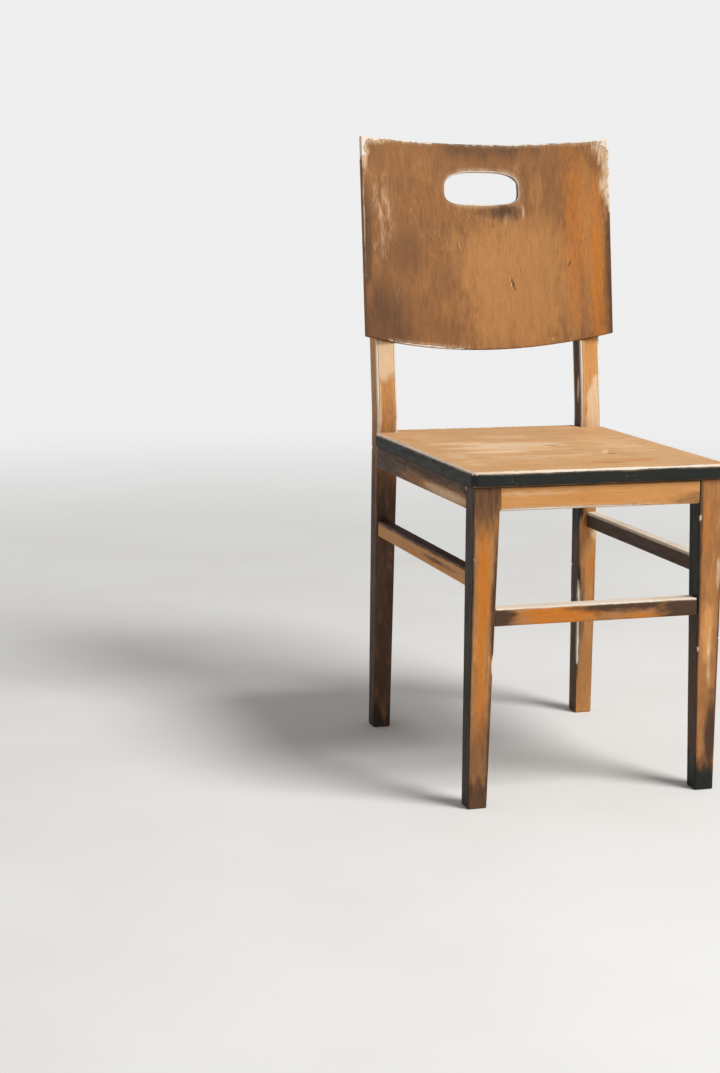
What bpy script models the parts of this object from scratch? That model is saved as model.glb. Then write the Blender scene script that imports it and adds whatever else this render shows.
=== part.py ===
"""Wooden frame chair with a flat seat and a bent plywood back with a hand slot.

Units are metres and +Z is up. The sitter faces -Y, so the front legs stand at -Y.
Pieces are drawn in the chair's own layout: X from the middle, Y from the front face of the
front legs, Z from the floor. The empty "chair_centre" then centres that layout on the origin.
"""

import math

import bmesh
import bpy
from mathutils import Matrix, Vector

# Overall frame
FRAME_WIDTH = 0.356           # over the outer faces of the legs
FRAME_DEPTH = 0.446           # front face of the front legs to rear face of the rear legs

# Seat
SEAT_HEIGHT = 0.450           # top of the seat above the floor
SEAT_THICKNESS = 0.020
SEAT_SIDE_OVERHANG = 0.004
SEAT_FRONT_OVERHANG = 0.005
SEAT_CORNER_RADIUS = 0.010
SEAT_EDGE_ROUND = 0.003

# Legs: across the chair, then front to back
FRONT_LEG_WIDTH = 0.036
FRONT_LEG_DEPTH = 0.032
FRONT_FOOT_WIDTH = 0.026
FRONT_FOOT_DEPTH = 0.027
REAR_LEG_WIDTH = 0.031
REAR_LEG_DEPTH = 0.030
REAR_FOOT_WIDTH = 0.026
REAR_FOOT_DEPTH = 0.027

# Rear legs above the seat
BACK_RAKE = math.radians(8.0)
BEND_RADIUS = 0.250           # of the rear face
BEND_RISE = 0.004             # start of the bend above the seat
POST_DROP = 0.030             # top of the posts below the corners of the back panel

# Rails
APRON_HEIGHT = 0.032
APRON_THICKNESS = 0.020
FRONT_STRETCHER_TOP = 0.269
FRONT_STRETCHER_HEIGHT = 0.024
FRONT_STRETCHER_THICKNESS = 0.022
SIDE_STRETCHER_TOP = 0.319
SIDE_STRETCHER_HEIGHT = 0.024
SIDE_STRETCHER_THICKNESS = 0.016
STRETCHER_INSET = 0.002       # behind the outer faces of the legs
TENON_LENGTH = 0.012
TENON_THICKNESS = 0.008
TENON_SHOULDER = 0.004        # above and below the tenon

# Back panel, measured along the rake
PANEL_WIDTH = 0.391
PANEL_HEIGHT = 0.292          # at its corners
PANEL_THICKNESS = 0.011
PANEL_LIFT = 0.140            # lower corners above the seat
PANEL_RADIUS = 0.690          # of its hollow front face
PANEL_TOP_DIP = 0.007
PANEL_BOTTOM_BOW = 0.021
PANEL_EDGE_ROUND = 0.002
HOUSING_DEPTH = 0.0015        # of the posts' rebate at their outer arris

# Hand slot
SLOT_WIDTH = 0.116
SLOT_ARCH = 0.027             # middle line to the top of the arch
SLOT_BELLY = 0.021            # middle line to the bottom edge
SLOT_TOP_MARGIN = 0.041       # top edge of the panel to the top of the arch
SLOT_ARCH_POWER = 2.9
SLOT_BELLY_POWER = 4.0

# Corner blocks
BLOCK_ARM = 0.055             # along each apron
BLOCK_HEIGHT = 0.024
BLOCK_SCREW_ALONG = 0.038     # along each apron, from the other apron
BLOCK_SCREW_SUNK = 0.013      # head above the apron's face

# Wood screws
SCREW_HEAD_RADIUS = 0.0040
SCREW_SHANK_RADIUS = 0.0021
SCREW_TIP = 0.005
SCREW_SLOT_WIDTH = 0.0009
SCREW_SLOT_DEPTH = 0.0010
SCREW_BITE_PANEL = 0.0075
SCREW_BITE_APRON = 0.010
SCREW_BITE_SEAT = 0.013
SCREW_SIDES = 16
BACK_SCREW_MARGIN = 0.035     # from the panel's lower corners and from the posts' tops
SEAT_SCREW_OFFSET = 0.009     # from the faces of the leg

# Fits and finish
FIT = 0.0003                  # gap between pieces that touch
ARRIS = 0.0018                # rounding of the frame's edges
BLOCK_ARRIS = 0.0010
SPARE = 0.010                 # by which a cutting shape runs past what it cuts
WELD = 0.00001                # points closer than this are one
FLAT_ANGLE = math.radians(0.2)    # faces that meet at less lie in one plane
EDGE_ANGLE = math.radians(35)     # faces that meet at more form an edge
SLOT_STEPS = 40
EDGE_STEPS = 14
PANEL_STEPS = 26
BEND_STEPS = 6
CORNER_STEPS = 5

# What follows from them
HALF_WIDTH = FRAME_WIDTH / 2
FRAME_TOP = SEAT_HEIGHT - SEAT_THICKNESS - FIT
APRON_BOTTOM = FRAME_TOP - APRON_HEIGHT
BEND_START = SEAT_HEIGHT + BEND_RISE
BEND_CENTRE_Y = FRAME_DEPTH + BEND_RADIUS
FRONT_BEND_RADIUS = BEND_RADIUS + REAR_LEG_DEPTH
BACK_ORIGIN_Y = BEND_CENTRE_Y - FRONT_BEND_RADIUS * math.cos(BACK_RAKE)
BACK_ORIGIN_Z = BEND_START + FRONT_BEND_RADIUS * math.sin(BACK_RAKE)
PANEL_BOTTOM = (SEAT_HEIGHT + PANEL_LIFT - BACK_ORIGIN_Z) / math.cos(BACK_RAKE)
PANEL_TOP = PANEL_BOTTOM + PANEL_HEIGHT
POST_TOP = PANEL_TOP - POST_DROP
PANEL_BACK_RADIUS = PANEL_RADIUS + PANEL_THICKNESS
PANEL_AXIS_Y = HOUSING_DEPTH - math.sqrt(PANEL_BACK_RADIUS ** 2 - HALF_WIDTH ** 2)
SEAT_SCREW_LENGTH = BLOCK_HEIGHT + FIT + SCREW_BITE_SEAT
BLOCK_SCREW_LENGTH = BLOCK_SCREW_SUNK + SCREW_BITE_APRON
DRILL_REACH = 2 * BLOCK_ARM   # of a screw hole above the head, out through the block

# Rotations that lay a flat outline in a front, side or plan view
FRONT_VIEW = Matrix(((1, 0, 0, 0), (0, 0, -1, 0), (0, 1, 0, 0), (0, 0, 0, 1)))
SIDE_VIEW = Matrix(((0, 0, 1, 0), (1, 0, 0, 0), (0, 1, 0, 0), (0, 0, 0, 1)))
PLAN_VIEW = Matrix.Identity(4)


def new_collection(name):
    collection = bpy.data.collections.new(name)
    bpy.context.scene.collection.children.link(collection)
    return collection


def new_material(name, colour, roughness, metallic=0.0):
    material = bpy.data.materials.new(name)
    material.use_nodes = True
    shader = material.node_tree.nodes["Principled BSDF"]
    shader.inputs["Base Color"].default_value = (*colour, 1.0)
    shader.inputs["Roughness"].default_value = roughness
    shader.inputs["Metallic"].default_value = metallic
    return material


def new_empty(name, location, rotation=(0, 0, 0), parent=None):
    empty = bpy.data.objects.new(name, None)
    empty.location = location
    empty.rotation_euler = rotation
    empty.parent = parent
    pieces.objects.link(empty)
    return empty


def add_piece(name, mesh, material, parent):
    """One real piece of the chair."""
    piece = bpy.data.objects.new(name, mesh)
    piece.parent = parent
    if not mesh.materials:
        mesh.materials.append(material)
    mesh.shade_smooth()
    mesh.set_sharp_from_angle(angle=EDGE_ANGLE)
    pieces.objects.link(piece)
    return piece


def add_cutter(name, mesh, parent):
    """A guide shape that cuts or joins, and is no piece itself."""
    cutter = bpy.data.objects.new(name, mesh)
    cutter.parent = parent
    cutter.hide_render = True
    cutter.display_type = "WIRE"
    cutters.objects.link(cutter)
    return cutter


def combine(target, other, operation="DIFFERENCE"):
    modifier = target.modifiers.new(other.name, "BOOLEAN")
    modifier.operation = operation
    modifier.solver = "EXACT"
    modifier.object = other


def round_edges(piece, width, segments=2):
    modifier = piece.modifiers.new("rounded edges", "BEVEL")
    modifier.width = width
    modifier.segments = segments
    modifier.limit_method = "ANGLE"
    modifier.angle_limit = EDGE_ANGLE
    modifier.use_clamp_overlap = False


def tidy(mesh):
    """Weld a curve's caps to its walls, join flat faces and turn every face outward."""
    shape = bmesh.new()
    shape.from_mesh(mesh)
    bmesh.ops.remove_doubles(shape, verts=shape.verts, dist=WELD)
    bmesh.ops.dissolve_limit(shape, angle_limit=FLAT_ANGLE, verts=shape.verts, edges=shape.edges)
    bmesh.ops.recalc_face_normals(shape, faces=shape.faces)
    shape.to_mesh(mesh)
    shape.free()


def outline_mesh(name, outlines, view, low, high):
    """A slab with the given closed outlines, from low to high along the view's normal."""
    curve = bpy.data.curves.new(name, "CURVE")
    curve.dimensions = "2D"
    curve.fill_mode = "BOTH"
    curve.extrude = (high - low) / 2
    for outline in outlines:
        spline = curve.splines.new("POLY")
        spline.points.add(len(outline) - 1)
        for point, (across, up) in zip(spline.points, outline):
            point.co = (across, up, 0, 1)
        spline.use_cyclic_u = True
    holder = bpy.data.objects.new(name, curve)
    bpy.context.scene.collection.objects.link(holder)
    evaluated = holder.evaluated_get(bpy.context.evaluated_depsgraph_get())
    mesh = bpy.data.meshes.new_from_object(evaluated)
    bpy.data.objects.remove(holder)
    bpy.data.curves.remove(curve)
    mesh.name = name
    tidy(mesh)
    normal = Vector([abs(part) for part in view.col[2]][:3])
    mesh.transform(Matrix.Translation(normal * (low + high) / 2) @ view)
    return mesh


def box_mesh(name, low, high):
    mesh = bpy.data.meshes.new(name)
    size = high - low
    place = Matrix.Translation((low + high) / 2) @ Matrix.Diagonal((*size, 1))
    shape = bmesh.new()
    bmesh.ops.create_cube(shape, size=1, matrix=place)
    shape.to_mesh(mesh)
    shape.free()
    return mesh


def arc(centre, radius, start, end, steps):
    """Points along a circle from one angle to another, both ends included."""
    angles = [start + (end - start) * step / steps for step in range(steps + 1)]
    return [(centre[0] + radius * math.cos(a), centre[1] + radius * math.sin(a)) for a in angles]


def shallow_arc(half_length, level, sagitta, steps):
    """Points of a flat arc from left to right, whose middle lies a sagitta below its ends."""
    stations = [half_length * (2 * step / steps - 1) for step in range(steps + 1)]
    radius = (half_length ** 2 + sagitta ** 2) / (2 * sagitta)
    return [(x, level + radius - sagitta - math.sqrt(radius ** 2 - x ** 2)) for x in stations]


def tapered(full, foot, height):
    """Size of a leg at a height: full at the aprons, drawn in evenly down to the foot."""
    return foot + (full - foot) * min(height / APRON_BOTTOM, 1.0)


def front_width(height):
    return tapered(FRONT_LEG_WIDTH, FRONT_FOOT_WIDTH, height)


def front_depth(height):
    return tapered(FRONT_LEG_DEPTH, FRONT_FOOT_DEPTH, height)


def rear_width(height):
    return tapered(REAR_LEG_WIDTH, REAR_FOOT_WIDTH, height)


def rear_depth(height):
    return tapered(REAR_LEG_DEPTH, REAR_FOOT_DEPTH, height)


# Legs

def leg_front_outline(side, width, foot_width, top):
    """Front view: the outer face is upright, the inner one draws in below the aprons."""
    outer = HALF_WIDTH
    inner = HALF_WIDTH - width
    foot = HALF_WIDTH - foot_width
    points = [(outer, -SPARE), (outer, top), (inner, top), (inner, APRON_BOTTOM), (foot, 0), (foot, -SPARE)]
    return [(side * across, up) for across, up in points]


def make_leg(name, side, front_outline, side_outline):
    """A leg sawn from a plank along its side view, then along its front view."""
    plank = outline_mesh(name, [side_outline], SIDE_VIEW, *sorted((0, side * FRAME_WIDTH)))
    leg = add_piece(name, plank, frame_paint, chair)
    depth = max(along for along, up in side_outline)
    saw_mesh = outline_mesh(name + "_front_view", [front_outline], FRONT_VIEW, -SPARE, depth + SPARE)
    combine(leg, add_cutter(name + "_front_view", saw_mesh, chair), "INTERSECT")
    round_edges(leg, ARRIS)
    return leg


def front_leg(name, side):
    top = FRAME_TOP
    outline = [(0, 0), (0, top), (FRONT_LEG_DEPTH, top), (FRONT_LEG_DEPTH, APRON_BOTTOM), (FRONT_FOOT_DEPTH, 0)]
    return make_leg(name, side, leg_front_outline(side, FRONT_LEG_WIDTH, FRONT_FOOT_WIDTH, top + SPARE), outline)


def back_point(along, behind):
    """Layout Y and Z of a point given along the raked posts and behind their front face."""
    return (BACK_ORIGIN_Y + along * math.sin(BACK_RAKE) + behind * math.cos(BACK_RAKE),
            BACK_ORIGIN_Z + along * math.cos(BACK_RAKE) - behind * math.sin(BACK_RAKE))


def rear_leg_outline():
    """Side view: upright to the seat, then bent back in an arc and straight to the top."""
    centre = (BEND_CENTRE_Y, BEND_START)
    rear = arc(centre, BEND_RADIUS, math.pi, math.pi - BACK_RAKE, BEND_STEPS)
    front = arc(centre, FRONT_BEND_RADIUS, math.pi, math.pi - BACK_RAKE, BEND_STEPS)
    tops = [back_point(POST_TOP, REAR_LEG_DEPTH), back_point(POST_TOP, 0)]
    front_line = [(FRAME_DEPTH - REAR_LEG_DEPTH, APRON_BOTTOM), (FRAME_DEPTH - REAR_FOOT_DEPTH, 0)]
    return [(FRAME_DEPTH, 0)] + rear + tops + front[::-1] + front_line


def rear_leg(name, side):
    top = back_point(POST_TOP, 0)[1] + SPARE
    outline = leg_front_outline(side, REAR_LEG_WIDTH, REAR_FOOT_WIDTH, top)
    return make_leg(name, side, outline, rear_leg_outline())


# Rails with tenons of their own wood

def add_rail(name, body, low, high, legs):
    """A rail with a tenon at each end, and the mortises for them in its two legs."""
    rail = add_piece(name, body, frame_paint, chair)
    round_edges(rail, ARRIS)
    tenons = add_cutter(name + "_tenons", box_mesh(name + "_tenons", low, high), chair)
    combine(rail, tenons, "UNION")
    gap = Vector((FIT, FIT, FIT))
    mortises = add_cutter(name + "_mortises", box_mesh(name + "_mortises", low - gap, high + gap), chair)
    for leg in legs:
        combine(leg, mortises)
    return rail


def cross_rail(name, leg_width, top, height, front, thickness, legs):
    """A rail from left to right; its shoulders follow the inner faces of the legs."""
    bottom = top - height
    low_half = HALF_WIDTH - leg_width(bottom) - FIT
    top_half = HALF_WIDTH - leg_width(top) - FIT
    outline = [(-low_half, bottom), (low_half, bottom), (top_half, top), (-top_half, top)]
    body = outline_mesh(name, [outline], FRONT_VIEW, front, front + thickness)
    reach = HALF_WIDTH - leg_width((top + bottom) / 2) + TENON_LENGTH
    middle = front + thickness / 2
    low = Vector((-reach, middle - TENON_THICKNESS / 2, bottom + TENON_SHOULDER))
    high = Vector((reach, middle + TENON_THICKNESS / 2, top - TENON_SHOULDER))
    return add_rail(name, body, low, high, legs)


def side_rail(name, side, top, height, inset, thickness, legs):
    """A rail from front to back; its shoulders follow the faces of the legs."""
    bottom = top - height
    outline = [(front_depth(bottom) + FIT, bottom), (FRAME_DEPTH - rear_depth(bottom) - FIT, bottom),
               (FRAME_DEPTH - rear_depth(top) - FIT, top), (front_depth(top) + FIT, top)]
    outer = side * (HALF_WIDTH - inset)
    inner = side * (HALF_WIDTH - inset - thickness)
    body = outline_mesh(name, [outline], SIDE_VIEW, *sorted((outer, inner)))
    level = (top + bottom) / 2
    middle = (outer + inner) / 2
    low = Vector((middle - TENON_THICKNESS / 2, front_depth(level) - TENON_LENGTH, bottom + TENON_SHOULDER))
    high = Vector((middle + TENON_THICKNESS / 2, FRAME_DEPTH - rear_depth(level) + TENON_LENGTH,
                   top - TENON_SHOULDER))
    return add_rail(name, body, low, high, legs)


# Seat

def seat_outline():
    """Plan view: front corners rounded, rear edge in line with the rear legs."""
    side = HALF_WIDTH + SEAT_SIDE_OVERHANG
    centre_x = side - SEAT_CORNER_RADIUS
    centre_y = SEAT_CORNER_RADIUS - SEAT_FRONT_OVERHANG
    corner = arc((centre_x, centre_y), SEAT_CORNER_RADIUS, -math.pi / 2, 0, CORNER_STEPS)
    right = corner + [(side, FRAME_DEPTH)]
    left = [(-across, along) for across, along in reversed(right)]
    return right + left


def make_seat():
    """The seat board; its rear corners are notched round the rear legs."""
    bottom = SEAT_HEIGHT - SEAT_THICKNESS
    slab = outline_mesh("seat_panel", [seat_outline()], PLAN_VIEW, bottom, SEAT_HEIGHT)
    board = add_piece("seat_panel", slab, seat_paint, chair)
    round_edges(board, SEAT_EDGE_ROUND, segments=3)
    for side, label in ((-1, "left"), (1, "right")):
        inner = side * (HALF_WIDTH - REAR_LEG_WIDTH - FIT)
        outer = side * (HALF_WIDTH + SEAT_SIDE_OVERHANG + SPARE)
        low = Vector((min(inner, outer), FRAME_DEPTH - REAR_LEG_DEPTH - FIT, bottom - SPARE))
        high = Vector((max(inner, outer), FRAME_DEPTH + SPARE, SEAT_HEIGHT + SPARE))
        combine(board, add_cutter(f"notch_{label}", box_mesh(f"notch_{label}", low, high), chair))
    return board


# Back panel, in the raked layout of the empty "back": Y = 0 is the front face of the posts

def panel_back_y(across):
    """Back face of the bent panel at a distance from the middle."""
    return PANEL_AXIS_Y + math.sqrt(PANEL_BACK_RADIUS ** 2 - across ** 2)


def panel_sheet(name, grow):
    """The bent sheet in plan view, wider than the panel, and grown on both faces."""
    outer = PANEL_BACK_RADIUS + grow
    inner = PANEL_RADIUS - grow
    spread = math.asin((PANEL_WIDTH / 2 + SPARE) / inner)
    centre = (0, PANEL_AXIS_Y)
    back = arc(centre, outer, math.pi / 2 - spread, math.pi / 2 + spread, PANEL_STEPS)
    front = arc(centre, inner, math.pi / 2 + spread, math.pi / 2 - spread, PANEL_STEPS)
    low = PANEL_BOTTOM - PANEL_BOTTOM_BOW - SPARE
    return outline_mesh(name, [back + front], PLAN_VIEW, low, PANEL_TOP + SPARE)


def panel_outline(grow):
    """Front view: the bottom edge bows down and the top edge dips in the middle."""
    half = PANEL_WIDTH / 2 + grow
    bottom = shallow_arc(half, PANEL_BOTTOM - grow, PANEL_BOTTOM_BOW, EDGE_STEPS)
    top = shallow_arc(half, PANEL_TOP + grow, PANEL_TOP_DIP, EDGE_STEPS)
    return bottom + top[::-1]


def slot_outline():
    """Front view of the hand slot: a rounded arch over a flatter belly."""
    middle = PANEL_TOP - PANEL_TOP_DIP - SLOT_TOP_MARGIN - SLOT_ARCH
    points = []
    for step in range(SLOT_STEPS):
        angle = 2 * math.pi * step / SLOT_STEPS
        cosine, sine = math.cos(angle), math.sin(angle)
        height, power = (SLOT_ARCH, SLOT_ARCH_POWER) if sine >= 0 else (SLOT_BELLY, SLOT_BELLY_POWER)
        across = math.copysign(abs(cosine) ** (2 / power), cosine) * SLOT_WIDTH / 2
        up = math.copysign(abs(sine) ** (2 / power), sine) * height
        points.append((across, middle + up))
    return points


def make_back_panel():
    """The panel, and the rebates that seat its ends in the fronts of the posts."""
    panel = add_piece("backrest_panel", panel_sheet("backrest_panel", 0), back_paint, back)
    depth = (PANEL_AXIS_Y, REAR_LEG_DEPTH + SPARE)
    saw_mesh = outline_mesh("panel_outline", [panel_outline(0), slot_outline()], FRONT_VIEW, *depth)
    combine(panel, add_cutter("panel_outline", saw_mesh, back), "INTERSECT")
    round_edges(panel, PANEL_EDGE_ROUND)
    housing = add_cutter("panel_housing", panel_sheet("panel_housing", FIT), back)
    saw_mesh = outline_mesh("housing_outline", [panel_outline(FIT)], FRONT_VIEW, *depth)
    combine(housing, add_cutter("housing_outline", saw_mesh, back), "INTERSECT")
    for leg in rear_legs:
        combine(leg, housing)
    return panel


# Corner blocks

def block_outline(side, leg_width, leg_depth, from_rear):
    """Plan view of a block: it fills the corner of two aprons and is notched round the leg."""
    inner = APRON_THICKNESS + FIT
    arm = APRON_THICKNESS + BLOCK_ARM
    width = leg_width + FIT
    depth = leg_depth + FIT
    corner = [(inner, arm), (arm, inner), (width, inner), (width, depth), (inner, depth)]
    return [(side * (HALF_WIDTH - across), from_edge(along, from_rear)) for across, along in corner]


def from_edge(along, from_rear):
    """Layout Y of a distance from the frame's front face, or from its rear face."""
    return FRAME_DEPTH - along if from_rear else along


def make_block(name, side, leg_width, leg_depth, from_rear, aprons):
    """A corner block with its screws: one up into the seat and one into each apron."""
    top = FRAME_TOP
    bottom = top - BLOCK_HEIGHT
    outline = block_outline(side, leg_width, leg_depth, from_rear)
    block = add_piece(name, outline_mesh(name, [outline], PLAN_VIEW, bottom, top), bare_wood, chair)
    round_edges(block, BLOCK_ARRIS, segments=1)

    head_x = side * (HALF_WIDTH - leg_width - SEAT_SCREW_OFFSET)
    head_y = from_edge(leg_depth + SEAT_SCREW_OFFSET, from_rear)
    add_screw(next(seat_screw_names), Vector((head_x, head_y, bottom)), Vector((0, 0, 1)),
              SEAT_SCREW_LENGTH, chair, [block, seat])

    cross_apron, side_apron = aprons
    level = (top + bottom) / 2
    along = APRON_THICKNESS + BLOCK_SCREW_ALONG
    sunk = APRON_THICKNESS + BLOCK_SCREW_SUNK
    cross_head = Vector((side * (HALF_WIDTH - along), from_edge(sunk, from_rear), level))
    side_head = Vector((side * (HALF_WIDTH - sunk), from_edge(along, from_rear), level))
    outward_y = Vector((0, 1 if from_rear else -1, 0))
    add_screw(next(block_screw_names), cross_head, outward_y, BLOCK_SCREW_LENGTH, chair, [block, cross_apron])
    add_screw(next(block_screw_names), side_head, Vector((side, 0, 0)), BLOCK_SCREW_LENGTH, chair,
              [block, side_apron])


# Screws, drawn with the head at the origin and the point towards -Z

def turned_mesh(name, profile):
    """A solid turned round Z from its profile, given from the top down."""
    mesh = bpy.data.meshes.new(name)
    mesh.from_pydata([(radius, 0, up) for radius, up in profile],
                     [(index, index + 1) for index in range(len(profile) - 1)], [])
    holder = bpy.data.objects.new(name, mesh)
    bpy.context.scene.collection.objects.link(holder)
    turn = holder.modifiers.new("turned", "SCREW")
    turn.steps = SCREW_SIDES
    turn.render_steps = SCREW_SIDES
    turn.use_merge_vertices = True
    turn.merge_threshold = WELD
    evaluated = holder.evaluated_get(bpy.context.evaluated_depsgraph_get())
    solid = bpy.data.meshes.new_from_object(evaluated)
    bpy.data.objects.remove(holder)
    bpy.data.meshes.remove(mesh)
    tidy(solid)
    return solid


def screw_profile(length, gap):
    """Half section of a countersunk screw, grown by a gap; grown ones stay open above the head."""
    head = SCREW_HEAD_RADIUS + gap
    shank = SCREW_SHANK_RADIUS + gap
    neck = SCREW_SHANK_RADIUS - SCREW_HEAD_RADIUS - gap
    point = [(shank, neck), (shank, SCREW_TIP - length - gap), (0, -length - gap)]
    if gap:
        return [(0, DRILL_REACH), (head, DRILL_REACH), (head, -gap)] + point
    return [(0, 0), (head, 0)] + point


def slotted_screw_mesh(name, length):
    solid = turned_mesh(name, screw_profile(length, 0))
    holder = bpy.data.objects.new(name, solid)
    bpy.context.scene.collection.objects.link(holder)
    half = Vector((2 * SCREW_HEAD_RADIUS, SCREW_SLOT_WIDTH / 2, SCREW_SLOT_DEPTH))
    blade = add_cutter(name + "_slot", box_mesh(name + "_slot", -half, half), None)
    combine(holder, blade)
    evaluated = holder.evaluated_get(bpy.context.evaluated_depsgraph_get())
    slotted = bpy.data.meshes.new_from_object(evaluated)
    bpy.data.objects.remove(holder)
    bpy.data.objects.remove(blade)
    return slotted


def add_screw(name, head, direction, length, parent, wood):
    """A screw driven along a direction from its head, with its hole in each piece of wood."""
    place = Matrix.Translation(head) @ (-direction).to_track_quat("Z", "Y").to_matrix().to_4x4()
    if length not in screw_meshes:
        screw_meshes[length] = slotted_screw_mesh("wood_screw", length)
        drill_meshes[length] = turned_mesh("wood_screw_hole", screw_profile(length, FIT))
    screw = add_piece(name, screw_meshes[length], screw_steel, parent)
    screw.matrix_local = place
    drill = add_cutter(name + "_hole", drill_meshes[length], parent)
    drill.matrix_local = place
    for piece in wood:
        combine(piece, drill)


def screw_back_panel():
    """Two screws through each post from behind, into the back of the panel."""
    across = HALF_WIDTH - REAR_LEG_WIDTH / 2
    length = REAR_LEG_DEPTH - panel_back_y(across) + SCREW_BITE_PANEL
    names = numbered("back_screw")
    for side, leg in zip((-1, 1), rear_legs):
        for along in (PANEL_BOTTOM + BACK_SCREW_MARGIN, POST_TOP - BACK_SCREW_MARGIN):
            head = Vector((side * across, REAR_LEG_DEPTH, along))
            add_screw(next(names), head, Vector((0, -1, 0)), length, back, [leg, back_panel])


def numbered(stem):
    number = 0
    while True:
        number += 1
        yield f"{stem}_{number}"


for leftover in list(bpy.data.objects):
    bpy.data.objects.remove(leftover)

pieces = new_collection("chair")
cutters = new_collection("cutters")

frame_paint = new_material("frame_paint", (0.42, 0.20, 0.075), 0.62)
seat_paint = new_material("seat_paint", (0.58, 0.32, 0.14), 0.58)
back_paint = new_material("back_paint", (0.46, 0.22, 0.08), 0.60)
bare_wood = new_material("bare_wood", (0.45, 0.30, 0.17), 0.75)
screw_steel = new_material("screw_steel", (0.42, 0.40, 0.37), 0.42, metallic=1.0)

screw_meshes = {}
drill_meshes = {}

rear_reach = back_point(POST_TOP, REAR_LEG_DEPTH)[0]
chair = new_empty("chair_centre", (0, (SEAT_FRONT_OVERHANG - rear_reach) / 2, 0))
back = new_empty("back", (0, BACK_ORIGIN_Y, BACK_ORIGIN_Z), (-BACK_RAKE, 0, 0), chair)

front_legs = [front_leg("front_leg_left", -1), front_leg("front_leg_right", 1)]
rear_legs = [rear_leg("rear_leg_left", -1), rear_leg("rear_leg_right", 1)]

front_apron = cross_rail("front_apron", front_width, FRAME_TOP, APRON_HEIGHT, 0, APRON_THICKNESS, front_legs)
rear_apron = cross_rail("rear_apron", rear_width, FRAME_TOP, APRON_HEIGHT, FRAME_DEPTH - APRON_THICKNESS,
                        APRON_THICKNESS, rear_legs)
cross_rail("front_stretcher", front_width, FRONT_STRETCHER_TOP, FRONT_STRETCHER_HEIGHT, STRETCHER_INSET,
           FRONT_STRETCHER_THICKNESS, front_legs)

side_aprons = []
for side, label, legs in zip((-1, 1), ("left", "right"), zip(front_legs, rear_legs)):
    side_aprons.append(side_rail(f"{label}_apron", side, FRAME_TOP, APRON_HEIGHT, 0, APRON_THICKNESS, legs))
    side_rail(f"{label}_stretcher", side, SIDE_STRETCHER_TOP, SIDE_STRETCHER_HEIGHT, STRETCHER_INSET,
              SIDE_STRETCHER_THICKNESS, legs)

seat = make_seat()
seat_screw_names = numbered("seat_screw")
block_screw_names = numbered("block_screw")
for side, label, side_apron in zip((-1, 1), ("left", "right"), side_aprons):
    make_block(f"corner_block_front_{label}", side, FRONT_LEG_WIDTH, FRONT_LEG_DEPTH, False,
               (front_apron, side_apron))
    make_block(f"corner_block_rear_{label}", side, REAR_LEG_WIDTH, REAR_LEG_DEPTH, True,
               (rear_apron, side_apron))

back_panel = make_back_panel()
screw_back_panel()
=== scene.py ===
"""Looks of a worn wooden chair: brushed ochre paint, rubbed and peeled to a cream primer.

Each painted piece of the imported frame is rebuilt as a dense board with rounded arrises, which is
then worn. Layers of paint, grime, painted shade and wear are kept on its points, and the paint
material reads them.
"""

import math
from collections import namedtuple

import bpy
import numpy as np
from mathutils import Euler, Matrix, Vector, kdtree, noise
from mathutils.geometry import delaunay_2d_cdt


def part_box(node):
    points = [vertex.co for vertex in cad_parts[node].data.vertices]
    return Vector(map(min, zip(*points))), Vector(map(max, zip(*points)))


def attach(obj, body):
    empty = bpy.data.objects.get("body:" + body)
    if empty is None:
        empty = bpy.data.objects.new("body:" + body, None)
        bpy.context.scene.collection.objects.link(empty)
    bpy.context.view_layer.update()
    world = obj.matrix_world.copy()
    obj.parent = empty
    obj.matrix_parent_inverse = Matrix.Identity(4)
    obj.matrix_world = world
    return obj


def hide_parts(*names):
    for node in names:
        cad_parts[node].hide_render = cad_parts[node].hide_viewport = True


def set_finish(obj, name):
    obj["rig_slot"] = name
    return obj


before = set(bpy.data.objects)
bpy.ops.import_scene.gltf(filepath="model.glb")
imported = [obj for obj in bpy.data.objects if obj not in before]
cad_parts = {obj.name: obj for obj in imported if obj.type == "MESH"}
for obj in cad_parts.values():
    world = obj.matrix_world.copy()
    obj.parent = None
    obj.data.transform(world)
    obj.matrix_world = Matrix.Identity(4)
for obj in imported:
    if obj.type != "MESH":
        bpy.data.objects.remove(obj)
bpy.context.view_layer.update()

# Camera, at the photograph's viewing angle
CAMERA_PLACE = (-1.068, -2.6541, 0.8218)
CAMERA_YAW = 0.2971
CAMERA_PITCH = 0.1764
CAMERA_ROLL = 0.010
CAMERA_LENS = 67.78
CAMERA_SENSOR = 36

# Boards
SPACING = 0.002  # between the points of a face
FRAME_ARRIS = 0.0018
SEAT_ARRIS = 0.0030
PANEL_ARRIS = 0.0020
ARRIS_STEPS = 3
ARRIS_SPACING = 0.001  # between the points that an arris is measured from
CORNER_SHARE = 1.15  # an outline's corners are this much rounder than its arrises
CORNER_ROUND = CORNER_SHARE * FRAME_ARRIS  # of a leg's or rail's own outline
CORNER_STEPS = 3
SEAT_CORNER_RADIUS = 0.010
STRAIGHT = math.radians(160)  # a wider corner than this stays as it is
SHARP = math.radians(18)  # a turn past this is an arris down the wall
GRID_CLEARANCE = 0.8  # of the spacing, from a face's grid to its outline
MERGE_DISTANCE = 1e-7
FIT = 0.0003  # gap between pieces that touch
FOOT_BAND = 0.006  # height that holds the foot of a leg

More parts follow.
